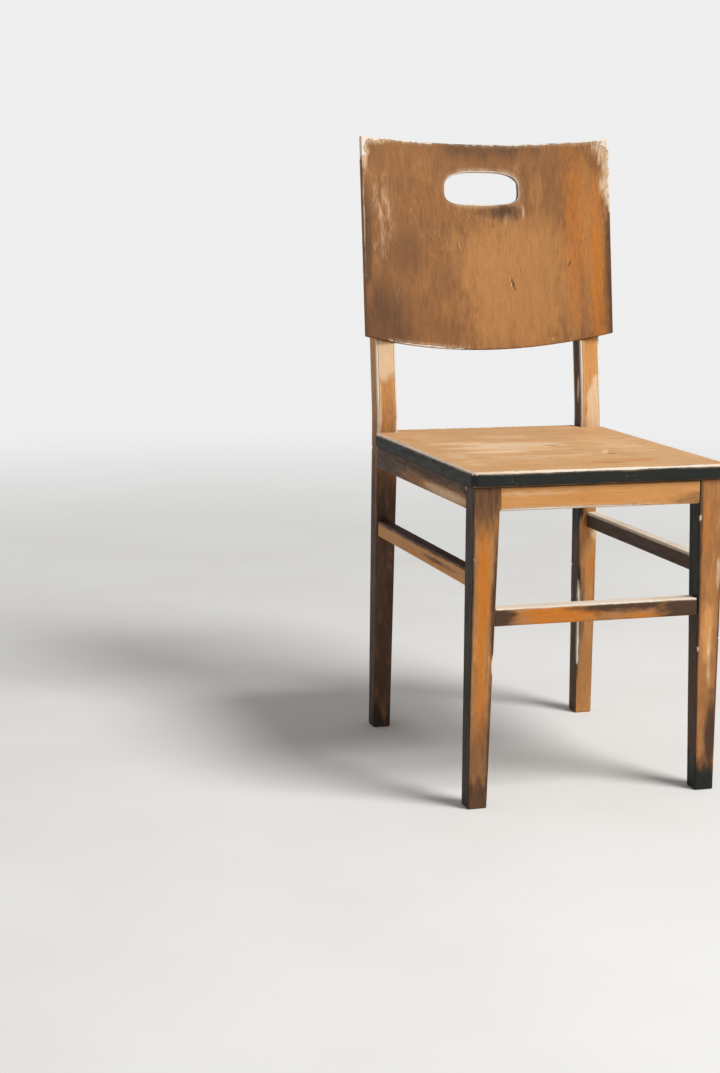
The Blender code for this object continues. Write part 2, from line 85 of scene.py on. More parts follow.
# Rear legs above the seat, and the bent back panel
BACK_RAKE = math.radians(8.0)
BEND_RADIUS = 0.250  # of the rear face
BEND_RISE = 0.004
BEND_STEPS = 6
PANEL_RADIUS = 0.690  # of its hollow face
PANEL_THICKNESS = 0.011
PANEL_HEIGHT = 0.292
PANEL_LIFT = 0.140
PANEL_TOP_DIP = 0.007
PANEL_BOTTOM_BOW = 0.021
PANEL_STEPS = 40
HOUSING_DEPTH = 0.0015  # of the panel's ends in the posts, at their outer arris
SLOT_WIDTH = 0.116
SLOT_ARCH = 0.027
SLOT_BELLY = 0.021
SLOT_TOP_MARGIN = 0.041
SLOT_ARCH_POWER = 2.9
SLOT_BELLY_POWER = 4.0
SLOT_STEPS = 64

# Screw holes in the posts, and loose flakes of paint
CUTTER_SPACING = 0.012
SCREW_HOLE_RADIUS = 0.0044
SCREW_HOLE_DEPTH = 0.0030
SCREW_HOLE_SIDES = 32
HEAD_BAND = 0.0005  # depth of a screw's head that shows where its middle is
FLAKE_THICKNESS = 0.0005
FLAKE_CORNERS = 11
FLAKE_BREADTH = 0.55  # of its length
FLAKE_TURN = 0.6  # round the way that its face looks
FLAKE_SEARCH = 0.1  # from outside a piece, to find the spot where a flake sits
FLAKE_LIFT = 0.004  # of its free end
FLAKE_FOOT = 0.0001  # that its fixed end stands proud

# Relief and wear of the paint
BRUSH_RELIEF = 0.00012
COAT_THICKNESS = 0.00035
CURL_HEIGHT = 0.00040  # of the paint round a peeled place
CHIP_DEPTH = 0.0005
CHIP_LEVELS = (0.85, 1.05)  # of the noise, over which a chip comes up at an arris
NICK_DEPTH = 0.0010
NICK_LIP = 0.0030  # from a nick's middle to its raised lip
NICK_WIDTHS = {-1: 0.0014, 0: 0.0022, 1: 0.0017}  # half widths at its foot, middle and head
ARRIS_WEAR = 0.0040  # width of an arris that is worn right through
EDGE_REACH = 0.020  # distance from an arris that the paint still feels
CHIP_REACH = (0.0010, 0.0045)  # from an arris, over which its small chips fade out
PEEL_RIM = 0.22  # level of peel at which the paint starts to curl
PEEL_EDGE = 0.42
PEEL_BARE = 0.56
MARK_FADE = (0.25, 1.25)  # share of a mark's half size over which it fades out
FACING_FADE = (0.35, 0.8)  # how squarely a surface looks the mark's way
END_FACING = 0.7  # how squarely the ends of a piece look along its strokes
LEG_RUBBED = 0.15  # how far all arrises of a leg are worn
RUBBED = 0.1  # and those of a rail, the seat and the back panel
PAINT_SHEEN = 0.3

# Noise of the relief and wear, with scales in features per metre
STREAK_SCALE = (60, 60, 9)  # across, across and along the strokes, as for the rough noise
ROUGH_SCALE = (170, 170, 80)
ROUGH_SHARE = 0.3  # of what breaks the edge of a mark, with streaks for the rest
PATCH_SCALE = (17, 17, 17)
PATCH_TONE = 0.08  # how far the patches make the paint lighter or darker
TEAR_SCALE = (90, 90, 90)
SEED_SHIFT = (0.37, 0.91, 0.53)  # of the noise, from one seed to the next
SEED_COUNT = 23

# Stage
KEY_PLACE = (2.43, -3.0, 5.05)
KEY_TARGET = (0, 0, 0.45)
KEY_SIZE = 2.6
KEY_POWER = 335
FILL_LEVEL = 0.32
BACKGROUND_LEVEL = 0.86
FLOOR_RADIUS = 30
FLOOR_SIDES = 96
FLOOR_FADE_START = 1.0  # from the middle of the chair
FLOOR_FADE_END = 4.0


def srgb(red, green, blue):
    """A colour written as it shows, in parts of 255, as the linear colour that a shader takes."""
    shown = [part / 255 for part in (red, green, blue)]
    linear = [part / 12.92 if part <= 0.04045 else ((part + 0.055) / 1.055) ** 2.4 for part in shown]
    return (*linear, 1.0)


AMBER = srgb(200, 118, 34)
UMBER = srgb(78, 53, 35)
CHARCOAL = srgb(27, 30, 26)
PALE = srgb(238, 208, 170)
PRIMER = srgb(234, 219, 200)
PRIMER_STAIN = srgb(204, 172, 140)
PIT = srgb(48, 33, 23)
RAW_WOOD = srgb(176, 140, 98)
RAW_WOOD_DARK = srgb(120, 86, 54)
STEEL = srgb(120, 112, 104)
RUST = srgb(112, 62, 34)
FLOOR_LIGHT = srgb(240, 239, 236)
FLOOR_DARK = srgb(236, 234, 230)


# Sizes read from the frame

def vectors(collection, field="co"):
    """The places, or another field, of a mesh's points as an array."""
    values = np.zeros(3 * len(collection))
    collection.foreach_get(field, values)
    return values.reshape(-1, 3)


def node_points(node):
    return vectors(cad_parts[node].data.vertices)


def reach(node, axis, low=-1.0, high=2.0):
    """Lowest and highest coordinate of a node along an axis, between two heights."""
    points = node_points(node)
    band = points[(points[:, 2] >= low) & (points[:, 2] <= high)]
    return band[:, axis].min(), band[:, axis].max()


HALF_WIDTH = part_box("front_leg_right")[1].x
FRONT_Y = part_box("front_leg_right")[0].y
REAR_Y = reach("rear_leg_right", 1, high=0.3)[1]
FRAME_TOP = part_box("front_leg_right")[1].z
APRON_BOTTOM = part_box("front_apron")[0].z
SEAT_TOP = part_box("seat_panel")[1].z
POST_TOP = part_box("rear_leg_right")[1].z


def drawn_in(foot, full, height):
    """A size of a leg at a height: full from the aprons up, drawn in evenly down to the foot."""
    return foot + (full - foot) * np.minimum(height / APRON_BOTTOM, 1.0)


class LegSizes:
    """Width and depth of a leg."""

    def __init__(self, node):
        full_band = (APRON_BOTTOM - FIT, FRAME_TOP)
        self.full_width = HALF_WIDTH - reach(node, 0, *full_band)[0]
        self.foot_width = HALF_WIDTH - reach(node, 0, high=FOOT_BAND)[0]
        full = reach(node, 1, *full_band)
        foot = reach(node, 1, high=FOOT_BAND)
        self.full_depth = full[1] - full[0]
        self.foot_depth = foot[1] - foot[0]

    def width(self, height):
        return drawn_in(self.foot_width, self.full_width, height)

    def depth(self, height):
        return drawn_in(self.foot_depth, self.full_depth, height)


front_sizes = LegSizes("front_leg_right")
rear_sizes = LegSizes("rear_leg_right")


# Closed outlines, as arrays of points that keep the material on their left

def rounded(points, radii):
    """An outline whose corners are rounded, by one radius or each by its own."""
    result = []
    count = len(points)
    radii = np.broadcast_to(radii, count)
    for index in range(count):
        corner = Vector(points[index])
        radius = radii[index]
        into = (Vector(points[index - 1]) - corner).normalized()
        out = (Vector(points[(index + 1) % count]) - corner).normalized()
        if radius == 0 or into.angle(out) > STRAIGHT:
            result.append(tuple(corner))
            continue
        half_angle = into.angle(out) / 2
        centre = corner + (into + out).normalized() * radius / math.sin(half_angle)
        start = corner + into * radius / math.tan(half_angle) - centre
        end = corner + out * radius / math.tan(half_angle) - centre
        for step in range(CORNER_STEPS + 1):
            towards = start.lerp(end, step / CORNER_STEPS)
            result.append(tuple(centre + towards.normalized() * radius))
    return np.array(result)


def resampled(points, spacing):
    """The outline with points at most a spacing apart; its own points stay."""
    points = np.asarray(points, float)
    result = []
    for start, end in zip(points, np.roll(points, -1, 0)):
        steps = max(1, math.ceil(np.linalg.norm(end - start) / spacing))
        shares = np.arange(steps)[:, None] / steps
        result.append(start + (end - start) * shares)
    return np.concatenate(result)


def inward(points):
    """For each point, the step into the material that insets both its sides by one."""
    ahead = np.roll(points, -1, 0) - points
    ahead /= np.linalg.norm(ahead, axis=1)[:, None]
    after = np.stack([-ahead[:, 1], ahead[:, 0]], 1)
    before = np.roll(after, 1, 0)
    return (after + before) / (1 + (after * before).sum(1))[:, None]


def inside(rings, points):
    """Which points lie within the rings, by the even-odd rule."""
    found = np.zeros(len(points), bool)
    for ring in rings:
        for (x0, y0), (x1, y1) in zip(ring, np.roll(ring, -1, 0)):
            if y0 == y1:
                continue
            spans = (points[:, 1] < y0) != (points[:, 1] < y1)
            crossing = x0 + (points[:, 1] - y0) * (x1 - x0) / (y1 - y0)
            found ^= spans & (points[:, 0] < crossing)
    return found


def distances(points, others):
    """How far each point is from the nearest of the others; flat points lie at height zero."""
    tree = kdtree.KDTree(len(others))
    for index, point in enumerate(others):
        tree.insert((*point, 0)[:3], index)
    tree.balance()
    return np.array([tree.find((*point, 0)[:3])[2] for point in points])


def ring_edges(rings):
    """Pairs of point numbers along the rings, which are numbered one after another."""
    edges = []
    first = 0
    for ring in rings:
        own = np.arange(len(ring))
        edges.append(np.stack([own, np.roll(own, -1)], 1) + first)
        first += len(ring)
    return np.concatenate(edges)


def cell_edges(cells, number):
    """Pairs of point numbers between the filled cells of a grid and the rest."""
    framed = np.pad(cells, 1)
    column, row = np.nonzero(framed[1:-1, 1:] != framed[1:-1, :-1])
    across = np.stack([number[column, row], number[column + 1, row]], 1)
    column, row = np.nonzero(framed[1:, 1:-1] != framed[:-1, 1:-1])
    up = np.stack([number[column, row], number[column, row + 1]], 1)
    return np.concatenate([across, up])


def seam_triangles(points, outer, inner):
    """Triangles between the rings, which hold the first points, and the edge of the cells."""
    chosen = np.concatenate([np.arange(len(outer)), np.unique(inner)])
    place_of = {int(old): new for new, old in enumerate(chosen)}
    lines = [(place_of[int(start)], place_of[int(end)]) for start, end in np.concatenate([outer, inner])]
    corners = [Vector(points[index]) for index in chosen]
    found = delaunay_2d_cdt(corners, lines, [], 0, MERGE_DISTANCE)
    source = [int(chosen[ids[0]]) for ids in found[3]]
    return np.array([[source[corner] for corner in face] for face in found[2]])


def fill_face(rings, spacing):
    """Grid points and faces that fill the rings; the faces count the rings' points first."""
    border = np.concatenate(rings)
    low = border.min(0)
    size = border.max(0) - low
    counts = np.maximum(np.ceil(size / spacing).astype(int), 1)
    step = size / counts
    columns, rows = np.meshgrid(np.arange(counts[0] + 1), np.arange(counts[1] + 1), indexing="ij")
    grid = low + np.stack([columns, rows], -1) * step
    flat = grid.reshape(-1, 2)
    clear = distances(flat, border) > GRID_CLEARANCE * spacing
    usable = (inside(rings, flat) & clear).reshape(columns.shape)
    cells = usable[:-1, :-1] & usable[1:, :-1] & usable[:-1, 1:] & usable[1:, 1:]

    used = np.zeros(columns.shape, bool)
    for down, left in ((0, 0), (1, 0), (0, 1), (1, 1)):
        used[down:down + cells.shape[0], left:left + cells.shape[1]] |= cells
    number = np.full(columns.shape, -1)
    number[used] = np.arange(used.sum()) + len(border)
    column, row = np.nonzero(cells)
    quads = np.stack([number[column, row], number[column + 1, row],
                      number[column + 1, row + 1], number[column, row + 1]], 1)

    everything = np.concatenate([border, grid[used]])
    triangles = seam_triangles(everything, ring_edges(rings), cell_edges(cells, number))
    centres = everything[triangles].mean(1)
    where = np.floor((centres - low) / step).astype(int).clip(0, counts - 1)
    wanted = inside(rings, centres) & ~cells[where[:, 0], where[:, 1]]
    return grid[used], quads.tolist() + triangles[wanted].tolist()


def edge_rows(thickness, rounding, spacing):
    """Inset and height of each row of points, from the lower face round the wall to the upper."""
    half = thickness / 2
    turns = [math.pi / 2 * step / ARRIS_STEPS for step in range(ARRIS_STEPS + 1)]
    upper = [(rounding * (1 - math.cos(turn)), half - rounding * (1 - math.sin(turn))) for turn in turns]
    lower = [(inset, -height) for inset, height in reversed(upper)]
    wall = 2 * (half - rounding)
    steps = max(1, math.ceil(wall / spacing))
    between = [(0.0, wall * (step / steps - 0.5)) for step in range(1, steps)]
    return lower + between + upper


Board = namedtuple("Board", "points faces arrises")


def make_board(outlines, thickness, rounding, spacing=SPACING):
    """A closed slab in its own layout, with the points of its arrises before they are rounded."""
    rings = [resampled(outline, spacing) for outline in outlines]
    steps = [inward(ring) for ring in rings]
    rows = edge_rows(thickness, rounding, spacing)
    count = sum(len(ring) for ring in rings)
    levels = []
    for inset, height in rows:
        flat = np.concatenate([ring + step * inset for ring, step in zip(rings, steps)])
        levels.append(np.column_stack([flat, np.full(count, height)]))
    faces = []
    for level in range(len(rows) - 1):
        first = level * count
        for ring in rings:
            own = np.arange(len(ring))
            low = first + own
            ahead = first + np.roll(own, -1)
            faces += np.stack([low, ahead, ahead + count, low + count], 1).tolist()
            first += len(ring)
    inset_rings = [ring + step * rounding for ring, step in zip(rings, steps)]
    grid, fill = fill_face(inset_rings, spacing)
    top_ring = (len(rows) - 1) * count
    top_grid = len(rows) * count
    low_grid = top_grid + len(grid)
    for face in fill:
        faces.append([top_ring + i if i < count else top_grid + i - count for i in face])
        faces.append([i if i < count else low_grid + i - count for i in reversed(face)])
    half = thickness / 2
    levels.append(np.column_stack([grid, np.full(len(grid), half)]))
    levels.append(np.column_stack([grid, np.full(len(grid), -half)]))
    return Board(np.concatenate(levels), faces, arris_points(outlines, half))


def arris_points(outlines, half):
    """Points along the edges of both faces, and down the wall at each sharp corner."""
    found = []
    for outline in outlines:
        ring = resampled(outline, ARRIS_SPACING)
        found += [np.column_stack([ring, np.full(len(ring), side * half)]) for side in (-1, 1)]
        ahead = np.roll(outline, -1, 0) - outline
        before = np.roll(ahead, 1, 0)
        turn = (ahead * before).sum(1) / (np.linalg.norm(ahead, axis=1) * np.linalg.norm(before, axis=1))
        heights = np.arange(-half, half, ARRIS_SPACING)
        for corner in outline[turn < math.cos(SHARP)]:
            found.append(np.column_stack([np.tile(corner, (len(heights), 1)), heights]))
    return np.concatenate(found)


def board_mesh(name, board, place):
    """The board's mesh where place puts its points; every face is turned outward."""
    points = place(board.points)
    mesh = bpy.data.meshes.new(name)
    mesh.from_pydata(points.tolist(), [], board.faces)
    mesh.update()
    corners = [points[np.array([face[index] for face in board.faces])] for index in (0, 1, 2)]
    if np.einsum("ij,ij->i", corners[0], np.cross(corners[1], corners[2])).sum() < 0:
        mesh.flip_normals()
    mesh.shade_smooth()
    return mesh


# Wear

# A mark lies at shares of its piece's box, with half sizes in metres; None leaves an axis free.
Mark = namedtuple("Mark", "layer at size strength facing ragged", defaults=(1.0, None, 0.5))
COAT_AND_SHADE_LAYERS = ("tan", "amber", "umber", "charcoal")
WEAR_LAYERS = ("scumble", "peel", "pit", "rubbed")
LAYERS = COAT_AND_SHADE_LAYERS + WEAR_LAYERS + ("lip",)
LEFT, RIGHT = (-1, 0, 0), (1, 0, 0)
FRONT, REAR = (0, -1, 0), (0, 1, 0)
UP, DOWN = (0, 0, 1), (0, 0, -1)

# Axes across and up each face that marks are laid on
FACE_AXES = {LEFT: (1, 2), RIGHT: (1, 2), FRONT: (0, 2), REAR: (0, 2), UP: (0, 1)}

# Axes across, across and along the brush strokes; on the ends of a piece they run the other way
ALONG_X, ALONG_Y, ALONG_Z = (1, 2, 0), (0, 2, 1), (0, 1, 2)
END_STROKES = {ALONG_X: ALONG_Y, ALONG_Y: ALONG_X, ALONG_Z: ALONG_X}


def dab(layer, facing, at, size, strength=1.0, ragged=0.5):
    """A mark on one face, with its shares and half sizes across and up that face."""
    shares, halves = [None] * 3, [None] * 3
    for axis, share, half in zip(FACE_AXES[facing], at, size):
        shares[axis] = share
        halves[axis] = half
    return Mark(layer, shares, halves, strength, facing, ragged)


def band(layer, facing, up, half_height, strength=1.0, ragged=0.5):
    """A mark right across one face."""
    return dab(layer, facing, (None, up), (None, half_height), strength, ragged)


def whole_face(layer, facing, strength=1.0):
    """A mark all over one face."""
    return Mark(layer, (None, None, None), None, strength, facing, 0)


def smooth(values, low, high):
    share = np.clip((values - low) / (high - low), 0, 1)
    return share * share * (3 - 2 * share)


def noise_at(points, scale, octaves=3):
    """Smooth noise, about -1 to 1, with a scale in features per metre along each axis."""
    return np.array([noise.fractal(point, 1.0, 2.0, octaves) for point in (points * scale).tolist()])


def mark_weight(mark, points, low, high, normals, breakup):
    """How strongly a mark lies on each point."""
    squared = np.zeros(len(points))
    for axis in range(3):
        if mark.at[axis] is not None:
            centre = low[axis] + mark.at[axis] * (high[axis] - low[axis])
            squared += ((points[:, axis] - centre) / mark.size[axis]) ** 2
    weight = 1 - smooth(np.sqrt(squared) + mark.ragged * breakup, *MARK_FADE)
    if mark.facing is not None:
        weight *= smooth(normals @ np.array(mark.facing), *FACING_FADE)
    return weight * mark.strength


def keep(mesh, name, kind, field, values):
    """Keep values on the mesh's points, where the paint reads them."""
    mesh.attributes.new(name, kind, "POINT").data.foreach_set(field, values.ravel())


def seed_of(name):
    """A shift of the noise that gives each piece its own strokes."""
    return np.array(SEED_SHIFT) * (sum(name.encode()) % SEED_COUNT)


def wear_piece(piece, arrises, grain, tone, rubbed, marks):
    """Work relief into a piece and keep its layers of paint, painted shade and wear on its points.

    grain is the way of the brush strokes, tone is how light the paint is and rubbed how far its
    arrises are worn.
    """
    mesh = piece.data
    points = vectors(mesh.vertices)
    normals = vectors(mesh.vertex_normals, "vector")
    shift = seed_of(piece.name)
    strokes = points[:, grain]
    ends = np.abs(normals[:, grain[2]]) > END_FACING
    strokes[ends] = points[ends][:, END_STROKES[grain]]
    strokes += shift
    streaks = noise_at(strokes, STREAK_SCALE)
    rough = noise_at(strokes, ROUGH_SCALE)
    patches = noise_at(points + shift, PATCH_SCALE, 2)
    tears = noise_at(points + shift, TEAR_SCALE)
    edge = distances(points, arrises)

    low = points.min(0)
    high = points.max(0)
    layers = {layer: np.zeros(len(points)) for layer in LAYERS}
    layers["tan"] += tone + PATCH_TONE * patches
    layers["rubbed"] += rubbed
    brushed = (1 - ROUGH_SHARE) * streaks + ROUGH_SHARE * rough
    for mark in marks:
        breakup = tears if mark.layer == "peel" else brushed
        weight = mark_weight(mark, points, low, high, normals, breakup)
        layers[mark.layer] = np.maximum(layers[mark.layer], weight)

    chipped = smooth(tears + 0.4 * patches + 0.25 * layers["rubbed"], *CHIP_LEVELS)
    chipped *= 1 - smooth(edge, *CHIP_REACH)
    layers["peel"] = np.maximum(layers["peel"], chipped)

    relief = BRUSH_RELIEF * (streaks + 0.5 * rough)
    bare = smooth(layers["peel"], PEEL_EDGE, PEEL_BARE)
    curl = smooth(layers["peel"], PEEL_RIM, PEEL_EDGE) * (1 - bare)
    relief += CURL_HEIGHT * curl - COAT_THICKNESS * bare
    relief -= CHIP_DEPTH * chipped + NICK_DEPTH * layers["pit"]
    relief += NICK_DEPTH * layers["lip"]
    points = points + normals * relief[:, None]
    points[:, 2] = np.maximum(points[:, 2], 0)
    mesh.vertices.foreach_set("co", points.ravel())
    mesh.update()

    for name, kinds in (("coat", COAT_AND_SHADE_LAYERS), ("wear", WEAR_LAYERS)):
        kept = np.stack([layers[kind] for kind in kinds], 1)
        keep(mesh, name, "FLOAT_COLOR", "color", np.maximum(kept, 0))
    keep(mesh, "grain", "FLOAT_VECTOR", "vector", strokes)
    keep(mesh, "edge", "FLOAT", "value", np.minimum(edge, EDGE_REACH))


# Materials

class Graph:
    """Short calls for the nodes of one material."""

    def __init__(self, name):
        self.material = bpy.data.materials.new(name)
        self.material.use_nodes = True
        self.nodes = self.material.node_tree.nodes
        self.links = self.material.node_tree.links
        self.shader = self.nodes["Principled BSDF"]

    def connect(self, value, socket):
        if isinstance(value, bpy.types.NodeSocket):
            self.links.new(value, socket)
        elif value is not None:
            socket.default_value = value

    def node(self, kind, inputs=None, **settings):
        """A new node; its inputs are plain values or the outputs of other nodes."""
        node = self.nodes.new("ShaderNode" + kind)
        for name, setting in settings.items():
            setattr(node, name, setting)
        for socket, value in (inputs or {}).items():
            self.connect(value, node.inputs[socket])
        return node

    def math(self, operation, first, second=None):
        return self.node("Math", {0: first, 1: second}, operation=operation).outputs[0]

    def add(self, first, *others):
        for other in others:
            first = self.math("ADD", first, other)
        return first

    def times(self, first, second):
        return self.math("MULTIPLY", first, second)

    def swing(self, value, amount):
        """A noise centred on zero, times an amount."""
        return self.times(self.math("SUBTRACT", value, 0.5), amount)

    def ramp(self, value, low, high, start=0.0, end=1.0):
        inputs = {"Value": value, "From Min": low, "From Max": high, "To Min": start, "To Max": end}
        return self.node("MapRange", inputs, interpolation_type="SMOOTHSTEP").outputs["Result"]

    def mix(self, factor, first, second, blend="MIX"):
        inputs = {0: factor, 6: first, 7: second}
        return self.node("Mix", inputs, data_type="RGBA", blend_type=blend).outputs[2]

    def attribute(self, name):
        return self.node("Attribute", attribute_name=name).outputs

    def parts(self, colour):
        return list(self.node("SeparateColor", {0: colour}).outputs)

    def noise(self, vector, scale, detail=4.0, roughness=0.55, distortion=0.0):
        """Noise with a scale in features per metre along each axis."""
        stretched = self.node("VectorMath", {0: vector, 1: scale}, operation="MULTIPLY").outputs[0]
        inputs = {"Vector": stretched, "Scale": 1.0, "Detail": detail, "Roughness": roughness,
                  "Distortion": distortion}
        return self.node("TexNoise", inputs).outputs["Fac"]

    def bump(self, height, distance, normal=None):
        inputs = {"Strength": 1.0, "Distance": distance, "Height": height, "Normal": normal}
        return self.node("Bump", inputs).outputs["Normal"]

    def object_place(self):
        return self.node("TexCoord").outputs["Object"]

    def finish(self, colour, roughness, normal=None):
        self.connect(colour, self.shader.inputs["Base Color"])
        self.connect(roughness, self.shader.inputs["Roughness"])
        self.connect(normal, self.shader.inputs["Normal"])
        return self.material


def paint_material(name, deep, light):
    """Brushed paint over a cream primer: streaks along the grain, smears, worn and peeled places."""
    graph = Graph(name)
    add, times, swing, ramp, mix = graph.add, graph.times, graph.swing, graph.ramp, graph.mix
    grain = graph.attribute("grain")["Vector"]
    coat = graph.attribute("coat")
    wear = graph.attribute("wear")
    tan, amber, umber = graph.parts(coat["Color"])
    charcoal = coat["Alpha"]
    scumble, peel, pits = graph.parts(wear["Color"])
    rubbed = wear["Alpha"]
    edge = graph.attribute("edge")["Fac"]

    # Traces of the brush, from single bristles to long sweeps, and ragged patches for the wear
    bristle = graph.noise(grain, (400, 400, 44), 3, 0.6, 0.6)
    fleck = graph.noise(grain, (210, 210, 50), 4, 0.65, 1.4)
    streak = graph.noise(grain, (110, 110, 20), 3, 0.55, 1.4)
    sweep = graph.noise(grain, (38, 38, 12), 3, 0.5, 1.6)
    cloud = graph.noise(grain, (13, 13, 9), 3, 0.5)
    ragged = graph.noise(grain, (330, 330, 200), 4, 0.65)
    patch = graph.noise(grain, (34, 34, 22), 3, 0.6)

    # The ground colour, then the smeared coats over it, the palest last; the umber and charcoal coats
    # also carry painted shade where marks put them
    tone = add(tan, swing(sweep, 0.4), swing(streak, 0.6), swing(bristle, 0.1), swing(cloud, 0.2))
    colour = mix(ramp(tone, -0.1, 1.1), deep, light)
    # Light flecks stand for ridges of paint that catch the light: painted highlights
    ridge_highlights = ramp(add(fleck, swing(cloud, 0.5)), 0.60, 0.74, 0.0, 0.8)
    colour = mix(ridge_highlights, colour, light)
    stroke = add(swing(streak, 0.6), swing(sweep, 0.4), swing(bristle, 0.12))
    colour = mix(ramp(add(amber, stroke), 0.1, 1.0), colour, AMBER)
    colour = mix(ramp(add(umber, stroke), 0.1, 0.95), colour, UMBER)
    colour = mix(ramp(add(charcoal, times(stroke, 0.4)), 0.2, 0.8), colour, CHARCOAL)
    drag = add(scumble, swing(bristle, 0.7), swing(streak, 0.8), swing(sweep, 0.8))
    colour = mix(ramp(drag, 0.3, 1.1, 0.0, 0.75), colour, PALE)
    shade = ramp(add(bristle, swing(fleck, 0.8)), 0.25, 0.75, 0.96, 1.03)
    colour = mix(1.0, colour, shade, "MULTIPLY")

    # The cream primer, where the paint is rubbed thin, rubbed off or peeled
    stain = ramp(add(cloud, swing(bristle, 0.6)), 0.45, 0.85)
    primer = mix(stain, PRIMER, PRIMER_STAIN)
    worn = add(rubbed, swing(patch, 1.2), swing(ragged, 0.3))
    width = ramp(worn, 0.25, 1.1, 0.0, ARRIS_WEAR)
    rubbed_off = times(ramp(edge, width, times(width, 0.8), 0.0, 1.0), ramp(worn, 0.35, 0.42))
    exposed = add(peel, swing(ragged, 0.5), swing(patch, 0.3))
    near = ramp(edge, 0.009, 0.0, 0.0, 1.0)
    thin = graph.math("MAXIMUM", ramp(exposed, 0.05, 0.5), times(ramp(worn, 0.3, 1.0), near))
    colour = mix(times(thin, ramp(streak, 0.3, 0.7, 0.2, 0.7)), colour, PALE)
    bare = graph.math("MAXIMUM", ramp(exposed, 0.47, 0.54), rubbed_off)
    colour = mix(bare, colour, primer)
    coat_left = graph.math("SUBTRACT", 1.0, bare)
    rim = times(ramp(exposed, 0.36, 0.47, 0.0, 0.35), coat_left)
    colour = mix(rim, colour, UMBER)
    pit = ramp(add(pits, swing(ragged, 0.5)), 0.5, 0.62)
    colour = mix(pit, colour, PIT)

    # Ridges of the brush, the step down to the primer, and a duller primer
    ridges = add(times(streak, 0.7), times(bristle, 0.25), times(fleck, 0.4))
    normal = graph.bump(times(ridges, coat_left), 0.0013)
    normal = graph.bump(add(coat_left, times(ragged, 0.2)), 0.0004, normal)
    gloss = ramp(streak, 0.3, 0.7, 0.50, 0.66)
    roughness = add(times(gloss, coat_left), times(bare, 0.80))
    graph.shader.inputs["Specular IOR Level"].default_value = PAINT_SHEEN
    return graph.finish(colour, roughness, normal)


def raw_wood_material(name):
    """Unpainted sawn wood of the corner blocks, with grain, saw marks and drips of glue."""
    graph = Graph(name)
    place = graph.object_place()
    grain = graph.noise(place, (30, 260, 260), 5, 0.6, 0.6)
    saw = graph.noise(place, (900, 60, 60), 2, 0.5)
    cloud = graph.noise(place, (40, 40, 40), 3, 0.5)
    rings = graph.ramp(graph.add(grain, graph.swing(cloud, 0.5)), 0.3, 0.7)
    colour = graph.mix(rings, RAW_WOOD, RAW_WOOD_DARK)
    colour = graph.mix(graph.ramp(cloud, 0.6, 0.75, 0.0, 0.5), colour, UMBER)
    normal = graph.bump(graph.add(grain, graph.times(saw, 0.6)), 0.0005)
    return graph.finish(colour, graph.ramp(grain, 0.3, 0.7, 0.7, 0.88), normal)


def steel_material(name):
    """Dull steel of old screws, with rust."""
    graph = Graph(name)
    place = graph.object_place()
    turned = graph.noise(place, (1500, 1500, 1500), 3, 0.6)
    blotch = graph.noise(place, (380, 380, 380), 4, 0.6)
    rust = graph.ramp(graph.add(blotch, graph.swing(turned, 0.4)), 0.5, 0.62)
    colour = graph.mix(rust, STEEL, RUST)
    graph.connect(graph.math("SUBTRACT", 1.0, rust), graph.shader.inputs["Metallic"])
    normal = graph.bump(graph.add(turned, rust), 0.0001)
    return graph.finish(colour, graph.ramp(rust, 0.0, 1.0, 0.38, 0.85), normal)


def floor_material(name):
    """Pale studio floor that melts into the pale background away from the object."""
    graph = Graph(name)
    place = graph.object_place()
    cloud = graph.noise(place, (3, 3, 3), 3, 0.5)
    colour = graph.mix(graph.ramp(cloud, 0.3, 0.7), FLOOR_LIGHT, FLOOR_DARK)
    graph.finish(colour, 0.9)
    length = graph.node("VectorMath", {0: place}, operation="LENGTH").outputs["Value"]
    far = graph.ramp(length, FLOOR_FADE_START, FLOOR_FADE_END)
    rays = graph.node("LightPath").outputs
    seen = rays["Is Camera Ray"]
    for kind in ("Is Glossy Ray", "Is Transmission Ray"):
        seen = graph.math("MAXIMUM", seen, rays[kind])
    glow = graph.node("Emission", {"Color": (1, 1, 1, 1), "Strength": BACKGROUND_LEVEL}).outputs[0]
    shares = {0: graph.times(far, seen), 1: graph.shader.outputs[0], 2: glow}
    blend = graph.node("MixShader", shares)
    output = next(node for node in graph.nodes if node.type == "OUTPUT_MATERIAL")
    graph.links.new(blend.outputs[0], output.inputs["Surface"])
    return graph.material


# Painted pieces

def link_object(name, data):
    made = bpy.data.objects.new(name, data)
    bpy.context.scene.collection.objects.link(made)
    return made


def add_painted(node, board, place, material, grain, tone, rubbed, marks, slot="frame_paint", cutters=()):
    """The painted piece that stands for a node of the frame."""
    mesh = board_mesh(node + "_painted", board, place)
    mesh.materials.append(material)
    piece = link_object(node + "_painted", mesh)
    for cutter in cutters:
        cut(piece, cutter)
    wear_piece(piece, place(board.arrises), grain, tone, rubbed, marks)
    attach(piece, "root")
    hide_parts(node)
    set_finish(piece, slot)
    return piece


def cut(piece, cutter):
    """Cut a shape out of a piece for good."""
    modifier = piece.modifiers.new("cut", "BOOLEAN")
    modifier.operation = "DIFFERENCE"
    modifier.solver = "EXACT"
    modifier.object = cutter
    evaluated = piece.evaluated_get(bpy.context.evaluated_depsgraph_get())
    mesh = bpy.data.meshes.new_from_object(evaluated)
    piece.modifiers.remove(modifier)
    old = piece.data
    piece.data = mesh
    bpy.data.meshes.remove(old)


def leg_place(side, sizes):
    """Puts a leg's layout, along Y, up and through its width, in the frame."""
    def place(points):
        through = points[:, 2] / sizes.full_width + 0.5
        across = side * (HALF_WIDTH - through * sizes.width(points[:, 1]))
        return np.column_stack([across, points[:, 0], points[:, 1]])
    return place


def front_leg_outline():
    depth, foot = front_sizes.full_depth, front_sizes.foot_depth
    points = [(FRONT_Y, 0.0), (FRONT_Y + foot, 0.0), (FRONT_Y + depth, APRON_BOTTOM),
              (FRONT_Y + depth, FRAME_TOP), (FRONT_Y, FRAME_TOP)]
    return rounded(points, CORNER_ROUND)


